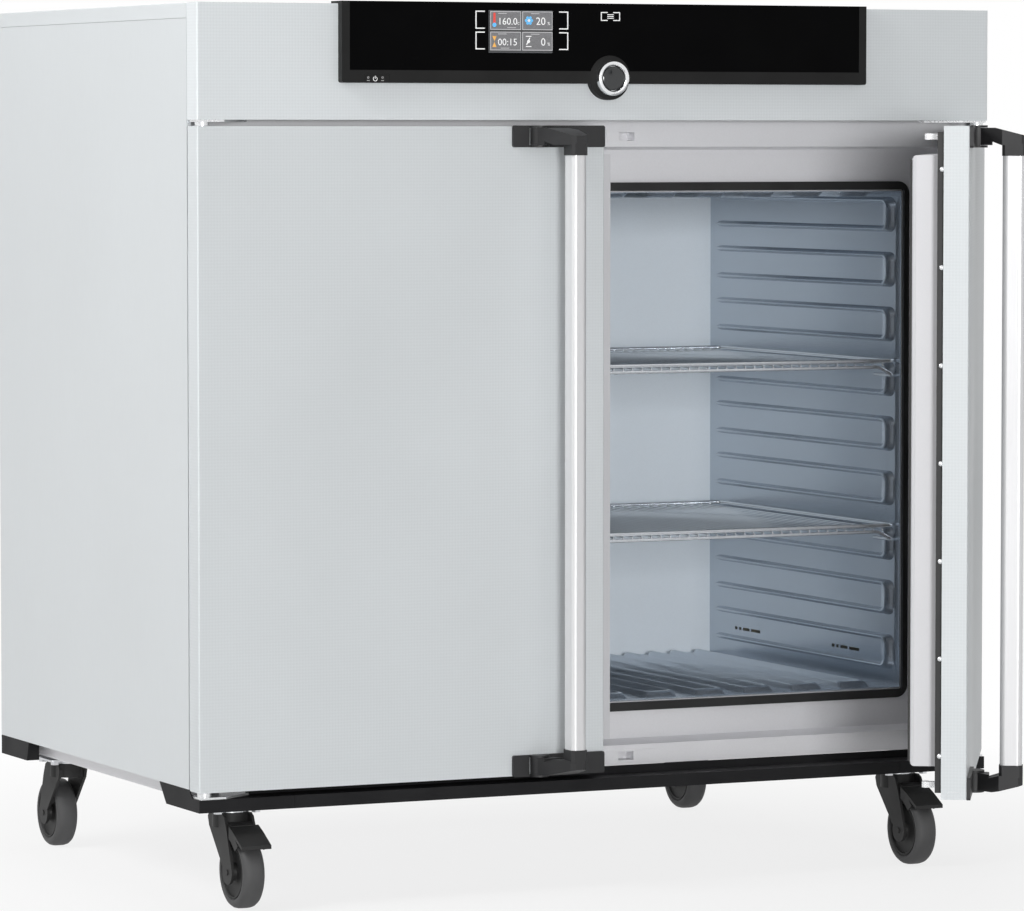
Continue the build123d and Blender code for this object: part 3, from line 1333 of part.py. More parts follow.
def turn_ring():
    """Bright turn ring round the confirmation key."""
    y1 = -PANEL_PROUD - SEAT_GAP
    y0 = y1 - RING_L
    ring = rod_y(0, y0, y1, KNOB_Z, RING_OUT_D)
    ring = fillet(ring.edges().filter_by(GeomType.CIRCLE).sort_by(Axis.Y)[:1], 2.5)
    ring -= rod_y(0, y0 - 1, y1 - RING_WEB_T, KNOB_Z, RING_IN_D)
    return ring - rod_y(0, y0, y1 + 1, KNOB_Z, RING_BOSS_D + 2 * RUNNING_GAP)


def confirm_key():
    """Round key in the middle of the ring, on a stem that runs in the housing."""
    y0 = -PANEL_PROUD - SEAT_GAP - RING_L + 2.0
    y1 = -PANEL_PROUD - SEAT_GAP - RING_WEB_T - KEY_TRAVEL - SEAT_GAP
    key = rod_y(0, y0, y1, KNOB_Z, KEY_D)
    key = fillet(key.edges().filter_by(GeomType.CIRCLE).sort_by(Axis.Y)[:1], 1.5)
    return key + rod_y(0, y1 - 1, -SEAT_GAP, KNOB_Z, KEY_STEM_D - 2 * RUNNING_GAP)


def power_key():
    """Small key in the lower edge of the panel."""
    y0 = -PANEL_PROUD
    y1 = -PANEL_PROUD + POWER_KEY_DEPTH - POWER_KEY_TRAVEL - SEAT_GAP
    half = POWER_KEY_W / 2
    z0, z1 = PANEL_BOTTOM_Z, PANEL_BOTTOM_Z + POWER_KEY_H
    key = block(POWER_KEY_X - half, POWER_KEY_X + half, y0, y1, z0, z1)
    key = fillet(key.edges().filter_by(Axis.Y), 1.5)
    return key + rod_y(POWER_KEY_X, y1 - 1, -2, (z0 + z1) / 2, POWER_STEM_D)


# Rear fittings

def exhaust_outlet():
    """Air outlet tube from the chamber through the rear panel, with a flange on the panel."""
    end_y = DEPTH + OUTLET_REACH
    tube = rod_y(OUTLET_X, WALL_BACK_Y, end_y, OUTLET_Z, OUTLET_D)
    tube += rod_y(OUTLET_X, DEPTH, DEPTH + 2, OUTLET_Z, OUTLET_FLANGE_D)
    tube -= rod_y(OUTLET_X, WALL_BACK_Y - 1, end_y + 1, OUTLET_Z, OUTLET_D - 2 * OUTLET_WALL)
    pin_bore = rod_x(
        OUTLET_X - OUTLET_D, OUTLET_X + OUTLET_D, flap_y(), OUTLET_Z, FLAP_PIN_D + 2 * RUNNING_GAP
    )
    return tube - pin_bore


def flap_y():
    """Place of the air flap's spindle along the outlet."""
    return WALL_BACK_Y + WOOL_GAP + OUTLET_D / 2


def exhaust_flap():
    """Round flap that turns in the outlet on a cross spindle."""
    radius = OUTLET_D / 2 - OUTLET_WALL - FLAP_GAP
    disc = rod_y(OUTLET_X, flap_y() - FLAP_T / 2, flap_y() + FLAP_T / 2, OUTLET_Z, 2 * radius)
    reach = OUTLET_D / 2 + 0.5
    return disc + rod_x(OUTLET_X - reach, OUTLET_X + reach, flap_y(), OUTLET_Z, FLAP_PIN_D)


def cord_gland():
    """Mains inlet gland: hexagon nut outside, threaded stub and nut inside."""
    nut = extrude(Plane.XZ.offset(-DEPTH) * Pos(GLAND_X, GLAND_Z) * RegularPolygon(GLAND_D / 2, 6), -8)
    dome = Pos(GLAND_X, DEPTH + 8, GLAND_Z) * Rot(-90, 0, 0) * Cone(
        GLAND_D / 2 - 2, GLAND_D / 2 - 4, GLAND_L - 8, align=(Align.CENTER, Align.CENTER, Align.MIN)
    )
    stub = rod_y(GLAND_X, REAR_SKIN_Y - 12, DEPTH + 1, GLAND_Z, GLAND_STUB_D)
    nut_in = extrude(
        Plane.XZ.offset(-REAR_SKIN_Y) * Pos(GLAND_X, GLAND_Z) * RegularPolygon(GLAND_D / 2, 6), 5
    )
    gland = nut + dome + stub + nut_in
    return gland - rod_y(GLAND_X, REAR_SKIN_Y - 13, DEPTH + GLAND_L + 1, GLAND_Z, GLAND_BORE_D)


def assembly():
    """Every node by name, in the cabinet's frame."""
    right_side = side_panel_right()
    pieces = {
        "side_panel_right": right_side,
        "side_panel_left": mirrored(right_side),
        "top_cover": top_cover(),
        "rear_panel": rear_panel(),
        "header_panel": header_panel(),
        "front_frame": front_frame(),
        "mouth_gasket": mouth_gasket(),
        "strike_plates": strike_plates(),
        "hinge_brackets": hinge_brackets(),
        "chamber_side_walls": chamber_side_walls(),
        "chamber_floor": chamber_floor(),
        "chamber_ceiling": chamber_ceiling(),
        "chamber_rear_wall": chamber_rear_wall(),
        "fan_baffle": fan_baffle(),
        "fan_wheel": fan_wheel(),
        "fan_motor": fan_motor(),
        "heating_rods": heating_rods(),
        "insulation": insulation(),
        "plinth": plinth(),
        "chassis": chassis(),
        "caster_plates": caster_plates(),
        "shelf_upper": shelf(SHELF_ROWS[0]),
        "shelf_lower": shelf(SHELF_ROWS[1]),
        "cockpit_housing": cockpit_housing(),
        "cockpit_glass": cockpit_glass(),
        "control_unit": control_unit(),
        "turn_ring": turn_ring(),
        "confirm_key": confirm_key(),
        "power_key": power_key(),
        "exhaust_outlet": exhaust_outlet(),
        "exhaust_flap": exhaust_flap(),
        "cord_gland": cord_gland(),
    }
    for side in ("left", "right"):
        pieces.update(door_set(side))
    wheel, pedal = caster_wheel(), brake_pedal()
    plain, braked = caster_fork(), brake_fork()
    for name, (column, row) in caster_places().items():
        turn = caster_turn(column, row)
        pieces[f"fork_{name}"] = turn * (braked if row < 0 else plain)
        pieces[f"wheel_{name}"] = turn * wheel
        if row < 0:
            pieces[f"brake_{name}"] = turn * pedal
    return pieces


def origin_shift(pieces):
    """Move that puts the origin on the floor under the middle of the whole part."""
    boxes = [shape.bounding_box() for shape in pieces.values()]
    x0, x1 = min(box.min.X for box in boxes), max(box.max.X for box in boxes)
    y0, y1 = min(box.min.Y for box in boxes), max(box.max.Y for box in boxes)
    return Vector(-(x0 + x1) / 2, -(y0 + y1) / 2, -min(box.min.Z for box in boxes))


def main():
    """Write one STEP file for each node."""
    os.makedirs("parts", exist_ok=True)
    pieces = assembly()
    shift = origin_shift(pieces)
    for name, shape in pieces.items():
        export_step(Pos(shift) * shape, f"parts/{name}.step")
    print("nodes", len(pieces), "shift", shift)


if __name__ == "__main__":
    main()
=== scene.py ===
"""Forced air laboratory oven: finishes, finer pieces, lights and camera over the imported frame."""

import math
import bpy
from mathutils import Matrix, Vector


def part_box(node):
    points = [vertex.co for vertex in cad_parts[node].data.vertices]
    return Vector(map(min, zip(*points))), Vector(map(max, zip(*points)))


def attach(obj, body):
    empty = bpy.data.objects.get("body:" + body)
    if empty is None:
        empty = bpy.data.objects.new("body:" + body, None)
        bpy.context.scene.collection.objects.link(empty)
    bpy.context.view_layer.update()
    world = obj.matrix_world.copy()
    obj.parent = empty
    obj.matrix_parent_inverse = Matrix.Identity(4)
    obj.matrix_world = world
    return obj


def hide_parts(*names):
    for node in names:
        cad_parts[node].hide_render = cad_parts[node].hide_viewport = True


bl_info = {
    "name": "Laboratory oven dresser",
    "version": (1, 0, 0),
    "blender": (4, 5, 0),
    "location": "3D View > Sidebar > Oven",
    "description": "Gives the oven's frame its finishes and its finer pieces",
    "category": "Object",
}

import bmesh
import bpy
from bpy.props import FloatProperty, FloatVectorProperty, PointerProperty
from mathutils import Matrix, Vector

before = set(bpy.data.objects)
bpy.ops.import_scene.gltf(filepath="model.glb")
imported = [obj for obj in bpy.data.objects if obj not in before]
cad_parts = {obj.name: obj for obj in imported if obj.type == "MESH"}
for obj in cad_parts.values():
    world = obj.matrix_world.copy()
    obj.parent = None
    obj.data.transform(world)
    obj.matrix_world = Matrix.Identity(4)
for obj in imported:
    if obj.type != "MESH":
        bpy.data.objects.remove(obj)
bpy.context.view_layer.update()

# The cabinet's own frame: X = 0 on its centre plane, Y = 0 on the door faces, in millimetres.
HEADER_LOW, HEADER_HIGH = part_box("header_panel")
CENTRE_X = (HEADER_LOW[0] + HEADER_HIGH[0]) / 2
FRONT_Y = HEADER_LOW[1]
MM = 0.001

RIGHT_DOOR_OPEN = 57.9
HINGE_X = 600.5
HINGE_Y = 11.5
CHAMBER_HALF_W = 520.0
CHAMBER_FRONT_Y = 88.0
CHAMBER_BACK_Y = 688.0
CHAMBER_FLOOR_Z = 252.0
CHAMBER_TOP_Z = 972.0
SHEET_T = 1.2
HAIRPIN_L = 562.0
HAIRPIN_FRONT = 14.0
HAIRPIN_H = 50.8
RIB_W = 9.2
BEND_DEPTH = 34.0
BEND_OUTER_R = 17.0
BEND_INNER_R = 8.0
BEND_STEPS = 7
RIB_STEPS = 10
TIP_L = 16.0
SIDE_RIB_PITCH = 79.7
SIDE_RIB_MID_Z = 619.3
FLOOR_RIB_PITCH = 78.7
FLOOR_RIB_SHIFT = -13.0
AIR_SLOT_Z = 295.5
AIR_SLOT_H = 4.5
AIR_SLOT_STARTS = (121.0, 432.0)
AIR_SLOT_LENGTHS = (30.0, 22.0, 8.0, 8.0)
AIR_SLOT_GAP = 5.0
PANEL_FACE_Y = -13.0
KNOB_Z = 1131.8


def at(x, y, z):
    """A point of the cabinet's frame, in metres of the row frame."""
    return Vector((x * MM + CENTRE_X, y * MM + FRONT_Y, z * MM))


def row_matrix():
    """Takes cabinet millimetres to row metres."""
    return Matrix.Translation((CENTRE_X, FRONT_Y, 0)) @ Matrix.Scale(MM, 4)


def door_matrix(side):
    """Takes a point drawn on the closed left door to where it stands on that side's door."""
    if side == "left":
        return Matrix.Identity(4)
    pivot = Matrix.Translation((HINGE_X, HINGE_Y, 0))
    turn = Matrix.Rotation(math.radians(RIGHT_DOOR_OPEN), 4, "Z")
    return pivot @ turn @ pivot.inverted() @ Matrix.Scale(-1, 4, (1, 0, 0))


# Materials

MATERIALS = {}


def add_node(material, kind, **values):
    """A new node with its plain inputs set."""
    node = material.node_tree.nodes.new(kind)
    for key, value in values.items():
        if hasattr(node, key):
            setattr(node, key, value)
        else:
            node.inputs[key.replace("_", " ")].default_value = value
    return node


def wire(material, source, target):
    material.node_tree.links.new(source, target)


def mapped_place(material, stretch=(1, 1, 1), turn=0.0):
    """The surface point in the row frame, stretched and turned about the vertical."""
    place = add_node(material, "ShaderNodeTexCoord")
    mapping = add_node(material, "ShaderNodeMapping")
    mapping.inputs["Scale"].default_value = stretch
    mapping.inputs["Rotation"].default_value = (0, 0, math.radians(turn))
    wire(material, place.outputs["Object"], mapping.inputs["Vector"])
    return mapping.outputs["Vector"]


def noise(material, place, scale, detail=3.0, roughness=0.5):
    node = add_node(material, "ShaderNodeTexNoise", Scale=scale, Detail=detail, Roughness=roughness)
    wire(material, place, node.inputs["Vector"])
    return node.outputs["Fac"]


def spread(material, value, low, high, start=0.3, end=0.7):
    """Maps a value onto a range."""
    node = add_node(material, "ShaderNodeMapRange")
    node.inputs["From Min"].default_value = start
    node.inputs["From Max"].default_value = end
    node.inputs["To Min"].default_value = low
    node.inputs["To Max"].default_value = high
    wire(material, value, node.inputs["Value"])
    return node.outputs["Result"]


def blend_colours(material, value, first, second):
    node = add_node(material, "ShaderNodeMix", data_type="RGBA")
    node.inputs[6].default_value = (*first, 1)
    node.inputs[7].default_value = (*second, 1)
    wire(material, value, node.inputs[0])
    return node.outputs[2]


def combine(material, operation, first, second):
    node = add_node(material, "ShaderNodeMath", operation=operation)
    wire(material, first, node.inputs[0])
    if isinstance(second, float):
        node.inputs[1].default_value = second
    else:
        wire(material, second, node.inputs[1])
    return node.outputs[0]


LINEN_PITCH = 4.4
WAVE_CYCLE = 2 * math.pi / 20


def weave(material, place, pitch):
    """Linen embossing: crossed fine ridges, one set along each axis."""
    total = None
    scale = WAVE_CYCLE / (pitch * MM)
    for axis in ("X", "Y", "Z"):
        band = add_node(material, "ShaderNodeTexWave", bands_direction=axis, Scale=scale, Distortion=0.0)
        wire(material, place, band.inputs["Vector"])
        ridge = band.outputs["Fac"]
        total = ridge if total is None else combine(material, "ADD", total, ridge)
    return combine(material, "MULTIPLY", total, 1 / 3)


def weigh(material, parts):
    """Adds up values, each times its share."""
    total = None
    for value, share in parts:
        scaled = combine(material, "MULTIPLY", value, share)
        total = scaled if total is None else combine(material, "ADD", total, scaled)
    return total


def relief(material, height, distance, strength):
    node = add_node(material, "ShaderNodeBump", Distance=distance * MM, Strength=strength)
    wire(material, height, node.inputs["Height"])
    return node.outputs["Normal"]


def base_material(name, metallic=0.0, specular=0.5, coat=0.0, coat_roughness=0.05):
    """A material with a Principled shader whose even values are set on its own sockets."""
    material = bpy.data.materials.new(name)
    material.use_nodes = True
    shader = material.node_tree.nodes["Principled BSDF"]
    shader.inputs["Metallic"].default_value = metallic
    shader.inputs["Specular IOR Level"].default_value = specular
    shader.inputs["Coat Weight"].default_value = coat
    shader.inputs["Coat Roughness"].default_value = coat_roughness
    MATERIALS[name] = material
    return material, shader


def dress(material, shader, colour, roughness, normal):
    """Wires a shader's colour, roughness and normal."""
    wire(material, colour, shader.inputs["Base Color"])
    wire(material, roughness, shader.inputs["Roughness"])
    wire(material, normal, shader.inputs["Normal"])


def linen_steel(name, colours, turn=0.0):
    """Stainless sheet with a fine linen embossing, as on the doors and the header."""
    material, shader = base_material(name, metallic=0.08, specular=0.25)
    place = mapped_place(material, turn=turn)
    pattern = weave(material, place, LINEN_PITCH)
    cloud = noise(material, place, 3.0, 4.0)
    speck = noise(material, place, 900.0, 2.0)
    mixed = weigh(material, ((cloud, 0.45), (speck, 0.2), (pattern, 0.35)))
    colour = blend_colours(material, spread(material, mixed, 0, 1, 0.35, 0.65), *colours)
    roughness = spread(material, cloud, 0.40, 0.50)
    dress(material, shader, colour, roughness, relief(material, pattern, 0.25, 0.35))


def sheet_steel(name, colours, metallic, rough, grain=(1, 1, 1), grain_scale=500.0):
    """Plain stainless sheet: faint rolling grain, cloudy colour and uneven gloss."""
    material, shader = base_material(name, metallic=metallic, specular=0.45)
    place = mapped_place(material)
    rolled = noise(material, mapped_place(material, grain), grain_scale, 3.0)
    cloud = noise(material, place, 2.4, 4.0)
    mixed = weigh(material, ((cloud, 0.6), (rolled, 0.4)))
    colour = blend_colours(material, spread(material, mixed, 0, 1), *colours)
    roughness = spread(material, mixed, *rough)
    dress(material, shader, colour, roughness, relief(material, rolled, 0.03, 0.3))


def moulded(name, colours, rough, pebble=1400.0, relief_mm=0.05, **base):
    """Moulded plastic, paint or rubber with a fine pebble, paler where it is handled."""
    material, shader = base_material(name, **{"specular": 0.4, **base})
    place = mapped_place(material)
    pebbles = noise(material, place, pebble, 2.0)
    handled = noise(material, place, 14.0, 4.0)
    colour = blend_colours(material, spread(material, handled, 0, 1), *colours)
    roughness = spread(material, handled, *rough)
    dress(material, shader, colour, roughness, relief(material, pebbles, relief_mm, 0.4))


def wool_fibre(name, colours):
    """Mineral wool: long tangled fibres."""
    material, shader = base_material(name, specular=0.1)
    fibres = noise(material, mapped_place(material, (1, 1, 5)), 120.0, 8.0, 0.75)
    colour = blend_colours(material, spread(material, fibres, 0, 1), *colours)
    roughness = spread(material, fibres, 0.85, 0.98)
    dress(material, shader, colour, roughness, relief(material, fibres, 2.0, 0.8))


def lit_print(name, colours, strength):
    """A lit part of the display, or print on the glass."""
    material, shader = base_material(name, specular=0.3)
    cells = noise(material, mapped_place(material), 1800.0, 1.0)
    colour = blend_colours(material, spread(material, cells, 0, 1), *colours)
    wire(material, colour, shader.inputs["Base Color"])
    wire(material, colour, shader.inputs["Emission Color"])
    shader.inputs["Emission Strength"].default_value = strength
    wire(material, spread(material, cells, 0.25, 0.4), shader.inputs["Roughness"])


def lighter(colour, share):
    return tuple(min(1.0, part * share) for part in colour)


# Metals: darker and paler colour, metallic share, range of roughness, stretch and scale of the grain.
METALS = {
    # The rear wall's and baffle's sheet is the chamber's steel painted far paler and without metal:
    # painted light for the light and reflections that reach into the chamber.
    "chamber_back_painted_light": (((0.80, 0.87, 0.93), (0.86, 0.93, 0.99)), 0.0, (0.36, 0.46)),
    "bright_wire": (((0.66, 0.69, 0.72), (0.78, 0.81, 0.84)), 0.75, (0.12, 0.2), (1, 1, 1), 900.0),
    "satin_aluminium": (
        ((0.70, 0.70, 0.71), (0.76, 0.76, 0.77)), 0.3, (0.30, 0.38), (1, 1, 0.02), 900.0
    ),
    "turned_aluminium": (((0.74, 0.75, 0.76), (0.86, 0.87, 0.88)), 1.0, (0.14, 0.26), (1, 1, 1), 1500.0),
    "zinc_plate": (((0.60, 0.61, 0.63), (0.74, 0.75, 0.77)), 0.9, (0.26, 0.42), (1, 1, 1), 260.0),
    "latch_steel": (((0.70, 0.71, 0.72), (0.80, 0.81, 0.82)), 0.7, (0.22, 0.32)),
}

# Mouldings and paints: darker and paler grey or colour, range of roughness, and what else differs.
MOULDINGS = {
    "black_moulding": ((0.012, 0.012, 0.013), (0.020, 0.020, 0.021), (0.42, 0.55), {}),
    "black_paint": (
        (0.010, 0.010, 0.011), (0.016, 0.016, 0.017), (0.45, 0.6), {"pebble": 700.0, "specular": 0.12}
    ),
    "panel_moulding": ((0.011, 0.011, 0.011), (0.016, 0.016, 0.016), (0.45, 0.55), {"specular": 0.15}),
    "caster_moulding": (
        (0.018, 0.018, 0.018), (0.030, 0.030, 0.030), (0.45, 0.6), {"pebble": 900.0, "specular": 0.25}
    ),
    "tread_rubber": ((0.055, 0.055, 0.056), (0.085, 0.085, 0.086), (0.55, 0.72), {"pebble": 600.0}),
    "seal_rubber": ((0.006, 0.006, 0.006), (0.012, 0.012, 0.012), (0.35, 0.5), {"pebble": 800.0}),
    "gloss_key": (
        (0.010, 0.012, 0.013), (0.016, 0.018, 0.020), (0.12, 0.2), {"relief_mm": 0.01, "coat": 0.6}
    ),
    "gloss_glass": (
        (0.0012, 0.0012, 0.0014), (0.002, 0.002, 0.0022), (0.12, 0.18),
        {"relief_mm": 0.004, "specular": 0.03},
    ),
    "motor_paint": ((0.09, 0.09, 0.10), (0.14, 0.14, 0.15), (0.5, 0.65), {"pebble": 300.0}),
    "rod_sheath": (
        (0.18, 0.16, 0.14), (0.30, 0.27, 0.24), (0.35, 0.5), {"pebble": 500.0, "metallic": 0.8}
    ),
    "unit_plastic": ((0.10, 0.11, 0.12), (0.15, 0.16, 0.17), (0.45, 0.6), {}),
}

# Display and print: darker and paler colour, strength of the glow.
PRINTS = {
    "display_dark": ((0.05, 0.05, 0.052), (0.07, 0.07, 0.072), 0.25),
    "display_tile": ((0.10, 0.10, 0.105), (0.16, 0.16, 0.165), 0.7),
    "display_rim": ((0.42, 0.42, 0.43), (0.5, 0.5, 0.51), 0.5),
    "white_print": ((0.78, 0.78, 0.78), (0.86, 0.86, 0.86), 0.35),
    "grey_print": ((0.36, 0.36, 0.36), (0.44, 0.44, 0.44), 0.15),
    "red_mark": ((0.62, 0.06, 0.05), (0.7, 0.09, 0.07), 0.4),
    "blue_mark": ((0.10, 0.42, 0.78), (0.16, 0.5, 0.85), 0.4),
    "amber_mark": ((0.72, 0.36, 0.08), (0.8, 0.45, 0.12), 0.4),
}


def make_materials(oven):
    """Makes every finish of the oven."""
    casing, front, chamber = (
        tuple(colour) for colour in (oven.casing_colour, oven.frame_colour, oven.chamber_colour)
    )
    pale = lighter(casing, 1.07)
    linen_steel("door_linen_steel", (casing, pale))
    # The header takes the doors' linen steel painted paler: painted light on the top of the front.
    linen_steel("header_painted_light_steel", (pale, lighter(casing, 1.16)))
    linen_steel("open_door_linen_steel", (casing, pale), turn=-RIGHT_DOOR_OPEN)
    sheet_steel("casing_sheet", (casing, pale), 0.08, (0.34, 0.46))
    sheet_steel("side_sheet", (casing, pale), 0.3, (0.28, 0.38), (1, 1, 0.05), 700.0)
    sheet_steel("frame_sheet", (front, lighter(front, 1.08)), 0.35, (0.30, 0.40))
    # The doors' inner panels take the frame's steel painted darker: painted shade.
    sheet_steel("plug_painted_shade_sheet", (lighter(front, 0.88), lighter(front, 0.94)), 0.1, (0.34, 0.44))
    sheet_steel("chamber_sheet", (chamber, lighter(chamber, 1.08)), 0.8, (0.20, 0.28))
    for name, values in METALS.items():
        sheet_steel(name, *values)
    for name, (dark, light, rough, extra) in MOULDINGS.items():
        moulded(name, (dark, light), rough, **extra)
    wool_fibre("mineral_wool", ((0.42, 0.38, 0.29), (0.60, 0.56, 0.45)))
    for name, (dark, light, glow) in PRINTS.items():
        lit_print(name, (dark, light), glow)


NODE_FINISH = {
    "side_panel_left": "side_sheet",
    "side_panel_right": "side_sheet",
    "top_cover": "casing_sheet",
    "rear_panel": "casing_sheet",
    # The header's steel is painted paler than the doors': painted light.
    "header_panel": "header_painted_light_steel",
    "front_frame": "frame_sheet",
    "mouth_gasket": "seal_rubber",
    "strike_plates": "frame_sheet",
    "hinge_brackets": "latch_steel",
    "chamber_side_walls": "chamber_sheet",
    "chamber_floor": "chamber_sheet",
    "chamber_ceiling": "chamber_sheet",
    # Rear wall and baffle: the chamber's steel painted paler, painted light inside the chamber.
    "chamber_rear_wall": "chamber_back_painted_light",
    "fan_baffle": "chamber_back_painted_light",
    "fan_motor": "motor_paint",
    "heating_rods": "rod_sheath",
    "insulation": "mineral_wool",
    "plinth": "black_paint",
    "chassis": "frame_sheet",
    "caster_plates": "zinc_plate",
    "cockpit_housing": "panel_moulding",
    "cockpit_glass": "gloss_glass",
    "control_unit": "unit_plastic",
    "exhaust_outlet": "latch_steel",
    "cord_gland": "black_moulding",
    "shelf_upper": "bright_wire",
    "shelf_lower": "bright_wire",
    "turn_ring": "turned_aluminium",
    "confirm_key": "gloss_key",
    "power_key": "panel_moulding",
    "fan_wheel": "latch_steel",
    "exhaust_flap": "latch_steel",
}
DOOR_FINISH = {
    "door_shell": ("door_linen_steel", "open_door_linen_steel"),
    "door_core": ("mineral_wool", "mineral_wool"),
    # The inner panels' steel is the frame's painted darker: painted shade.
    "door_plug": ("plug_painted_shade_sheet", "plug_painted_shade_sheet"),
    "door_seals": ("seal_rubber", "seal_rubber"),
    "door_bearings": ("black_moulding", "black_moulding"),
    "corner_caps": ("black_moulding", "black_moulding"),
    "handle_bar": ("satin_aluminium", "satin_aluminium"),
    "handle_arms": ("black_moulding", "black_moulding"),
    "latches": ("latch_steel", "latch_steel"),
}


def node_finish(name):
    """The material of a node of the frame, by its name."""
    if name in NODE_FINISH:
        return NODE_FINISH[name]
    side, _, rest = name.partition("_")
    if side in ("left", "right") and rest in DOOR_FINISH:
        return DOOR_FINISH[rest][side == "right"]
    if name.startswith("wheel_"):
        return "tread_rubber"
    if name.startswith(("fork_", "brake_")):
        return "caster_moulding"
    raise RuntimeError(f"no finish for {name}")


# Mesh helpers. Shapes are drawn in millimetres of the cabinet's frame.

def finish_piece(name, mesh, body, material, replaces=(), sharp=40.0, place=None):
    """Puts a drawn mesh into the row frame as a named piece that rides on a body."""
    matrix = row_matrix() @ (place or Matrix.Identity(4))
    mesh.transform(matrix)
    if matrix.determinant() < 0:
        bmesh.ops.reverse_faces(mesh, faces=mesh.faces[:])
    data = bpy.data.meshes.new(name)
    mesh.to_mesh(data)
    mesh.free()
    for polygon in data.polygons:
        polygon.use_smooth = True
    data.set_sharp_from_angle(angle=math.radians(sharp))
    piece = bpy.data.objects.new(name, data)
    bpy.context.scene.collection.objects.link(piece)
    data.materials.append(MATERIALS[material])
    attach(piece, body)
    if replaces:
        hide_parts(*replaces)
    return piece


def loft(mesh, rings, closed=False, capped=False):
    """Skins a row of rings of points. closed joins each ring's end to its start."""
    rows = [[mesh.verts.new(point) for point in ring] for ring in rings]
    count = len(rows[0])
    for first, second in zip(rows, rows[1:]):
        for index in range(count if closed else count - 1):
            after = (index + 1) % count
            mesh.faces.new((first[index], first[after], second[after], second[index]))
    if capped:
        mesh.faces.new(rows[0][::-1])
        mesh.faces.new(rows[-1])
    return rows


def tube(mesh, path, radius, sides=8):
    """A round wire along a path of points, with closed ends."""
    points = [Vector(point) for point in path]
    rings = []
    side = None
    for index, point in enumerate(points):
        before = points[max(index - 1, 0)]
        after = points[min(index + 1, len(points) - 1)]
        along = (after - before).normalized()
        if side is None:
            side = along.orthogonal().normalized()
        side = (side - along * side.dot(along)).normalized()
        other = along.cross(side)
        ring = []
        for step in range(sides):
            angle = 2 * math.pi * step / sides
            ring.append(point + (side * math.cos(angle) + other * math.sin(angle)) * radius)
        rings.append(ring)
    loft(mesh, rings, closed=True, capped=True)


def rounded_path(corners, radius, steps=5):
    """A path through corners, each rounded by an arc-like curve."""
    points = [Vector(corner) for corner in corners]
    path = [points[0]]
    for before, corner, after in zip(points, points[1:], points[2:]):
        start = corner + (before - corner).normalized() * radius
        end = corner + (after - corner).normalized() * radius
        for step in range(steps + 1):
            share = step / steps
            path.append(start.lerp(corner, share).lerp(corner.lerp(end, share), share))
    path.append(points[-1])
    return path


def lathe(mesh, profile, centre, axis, steps=64):
    """Turns a closed profile of (along, radius) points round an axis."""
    axis = Vector(axis).normalized()
    first = axis.orthogonal().normalized()
    second = axis.cross(first)
    rings = []
    for step in range(steps):
        angle = 2 * math.pi * step / steps
        out = first * math.cos(angle) + second * math.sin(angle)
        rings.append([Vector(centre) + axis * along + out * radius for along, radius in profile])
    rings.append(rings[0])
    loft(mesh, rings, closed=True)
    bmesh.ops.remove_doubles(mesh, verts=mesh.verts[:], dist=0.001)
    bmesh.ops.recalc_face_normals(mesh, faces=mesh.faces[:])


def slab(mesh, x0, x1, y0, y1, z0, z1):
    """A thin flat wall."""
    made = bmesh.ops.create_cube(mesh, size=1.0)["verts"]
    middle = Vector(((x0 + x1) / 2, (y0 + y1) / 2, (z0 + z1) / 2))
    size = Vector((x1 - x0, y1 - y0, z1 - z0))
    for vert in made:
        vert.co = middle + Vector((vert.co.x * size.x, vert.co.y * size.y, vert.co.z * size.z))


def plate(mesh, outline, y0, y1):
    """A flat plate in the panel's plane: an outline of (x, z) points, from y0 back to y1."""
    front = [mesh.verts.new((x, y0, z)) for x, z in outline]
    back = [mesh.verts.new((x, y1, z)) for x, z in outline]
    mesh.faces.new(front)
    mesh.faces.new(back[::-1])
    count = len(outline)
    for index in range(count):
        after = (index + 1) % count
        mesh.faces.new((front[after], front[index], back[index], back[after]))
    bmesh.ops.recalc_face_normals(mesh, faces=mesh.faces[:])


def round_point(x, z, radius, angle):
    return (x + radius * math.cos(angle), z + radius * math.sin(angle))


def disc_outline(x, z, radius, steps=24, start=0.0, sweep=2 * math.pi):
    return [round_point(x, z, radius, start + sweep * step / steps) for step in range(steps)]


def box_outline(x0, x1, z0, z1):
    return [(x0, z0), (x1, z0), (x1, z1), (x0, z1)]


# Chamber

def pressed_profile(share):
    """Height across a pressed rib, from 0 at its foot to 1 on its crest."""
    return math.sin(math.pi * share) ** 1.15


def bend_point(depth, half, radius, angle):
    """A point of a hairpin's rounded corner, from its leg round to its front."""
    return (depth + radius - radius * math.sin(angle), half - radius + radius * math.cos(angle))


def hairpin_rings(rise):
    """Rings across one hairpin: (depth, across, height) from one leg's tip round to the other's."""
    half = HAIRPIN_H / 2
    inner_half = half - RIB_W
    outer, inner = [], []
    for depth in [HAIRPIN_L - back for back in (0, 1, 4, 9, TIP_L)] + [400.0, 240.0, 120.0, 64.0]:
        outer.append((depth, half))
        inner.append((max(depth, BEND_DEPTH + BEND_INNER_R + 2), inner_half))
    for step in range(BEND_STEPS + 1):
        angle = math.pi / 2 * step / BEND_STEPS
        outer.append(bend_point(0.0, half, BEND_OUTER_R, angle))
        inner.append(bend_point(BEND_DEPTH, inner_half, BEND_INNER_R, angle))
    count = len(outer)
    outer += [(depth, -across) for depth, across in reversed(outer)]
    inner += [(depth, -across) for depth, across in reversed(inner)]
    rings = []
    for index, ((du, dv), (eu, ev)) in enumerate(zip(outer, inner)):
        near_tip = min(index, 2 * count - 1 - index)
        past = max(0.0, outer[near_tip][0] - (HAIRPIN_L - TIP_L)) / TIP_L
        slim = math.sqrt(max(0.0, 1 - past * past))
        mid_u, mid_v = (du + eu) / 2, (dv + ev) / 2
        width = max(slim, 0.12)
        ring = []
        for step in range(RIB_STEPS + 1):
            share = step / RIB_STEPS
            u = mid_u + (du + (eu - du) * share - mid_u) * width
            v = mid_v + (dv + (ev - dv) * share - mid_v) * width
            ring.append((u, v, rise * pressed_profile(share) * slim))
        rings.append(ring)
    return rings


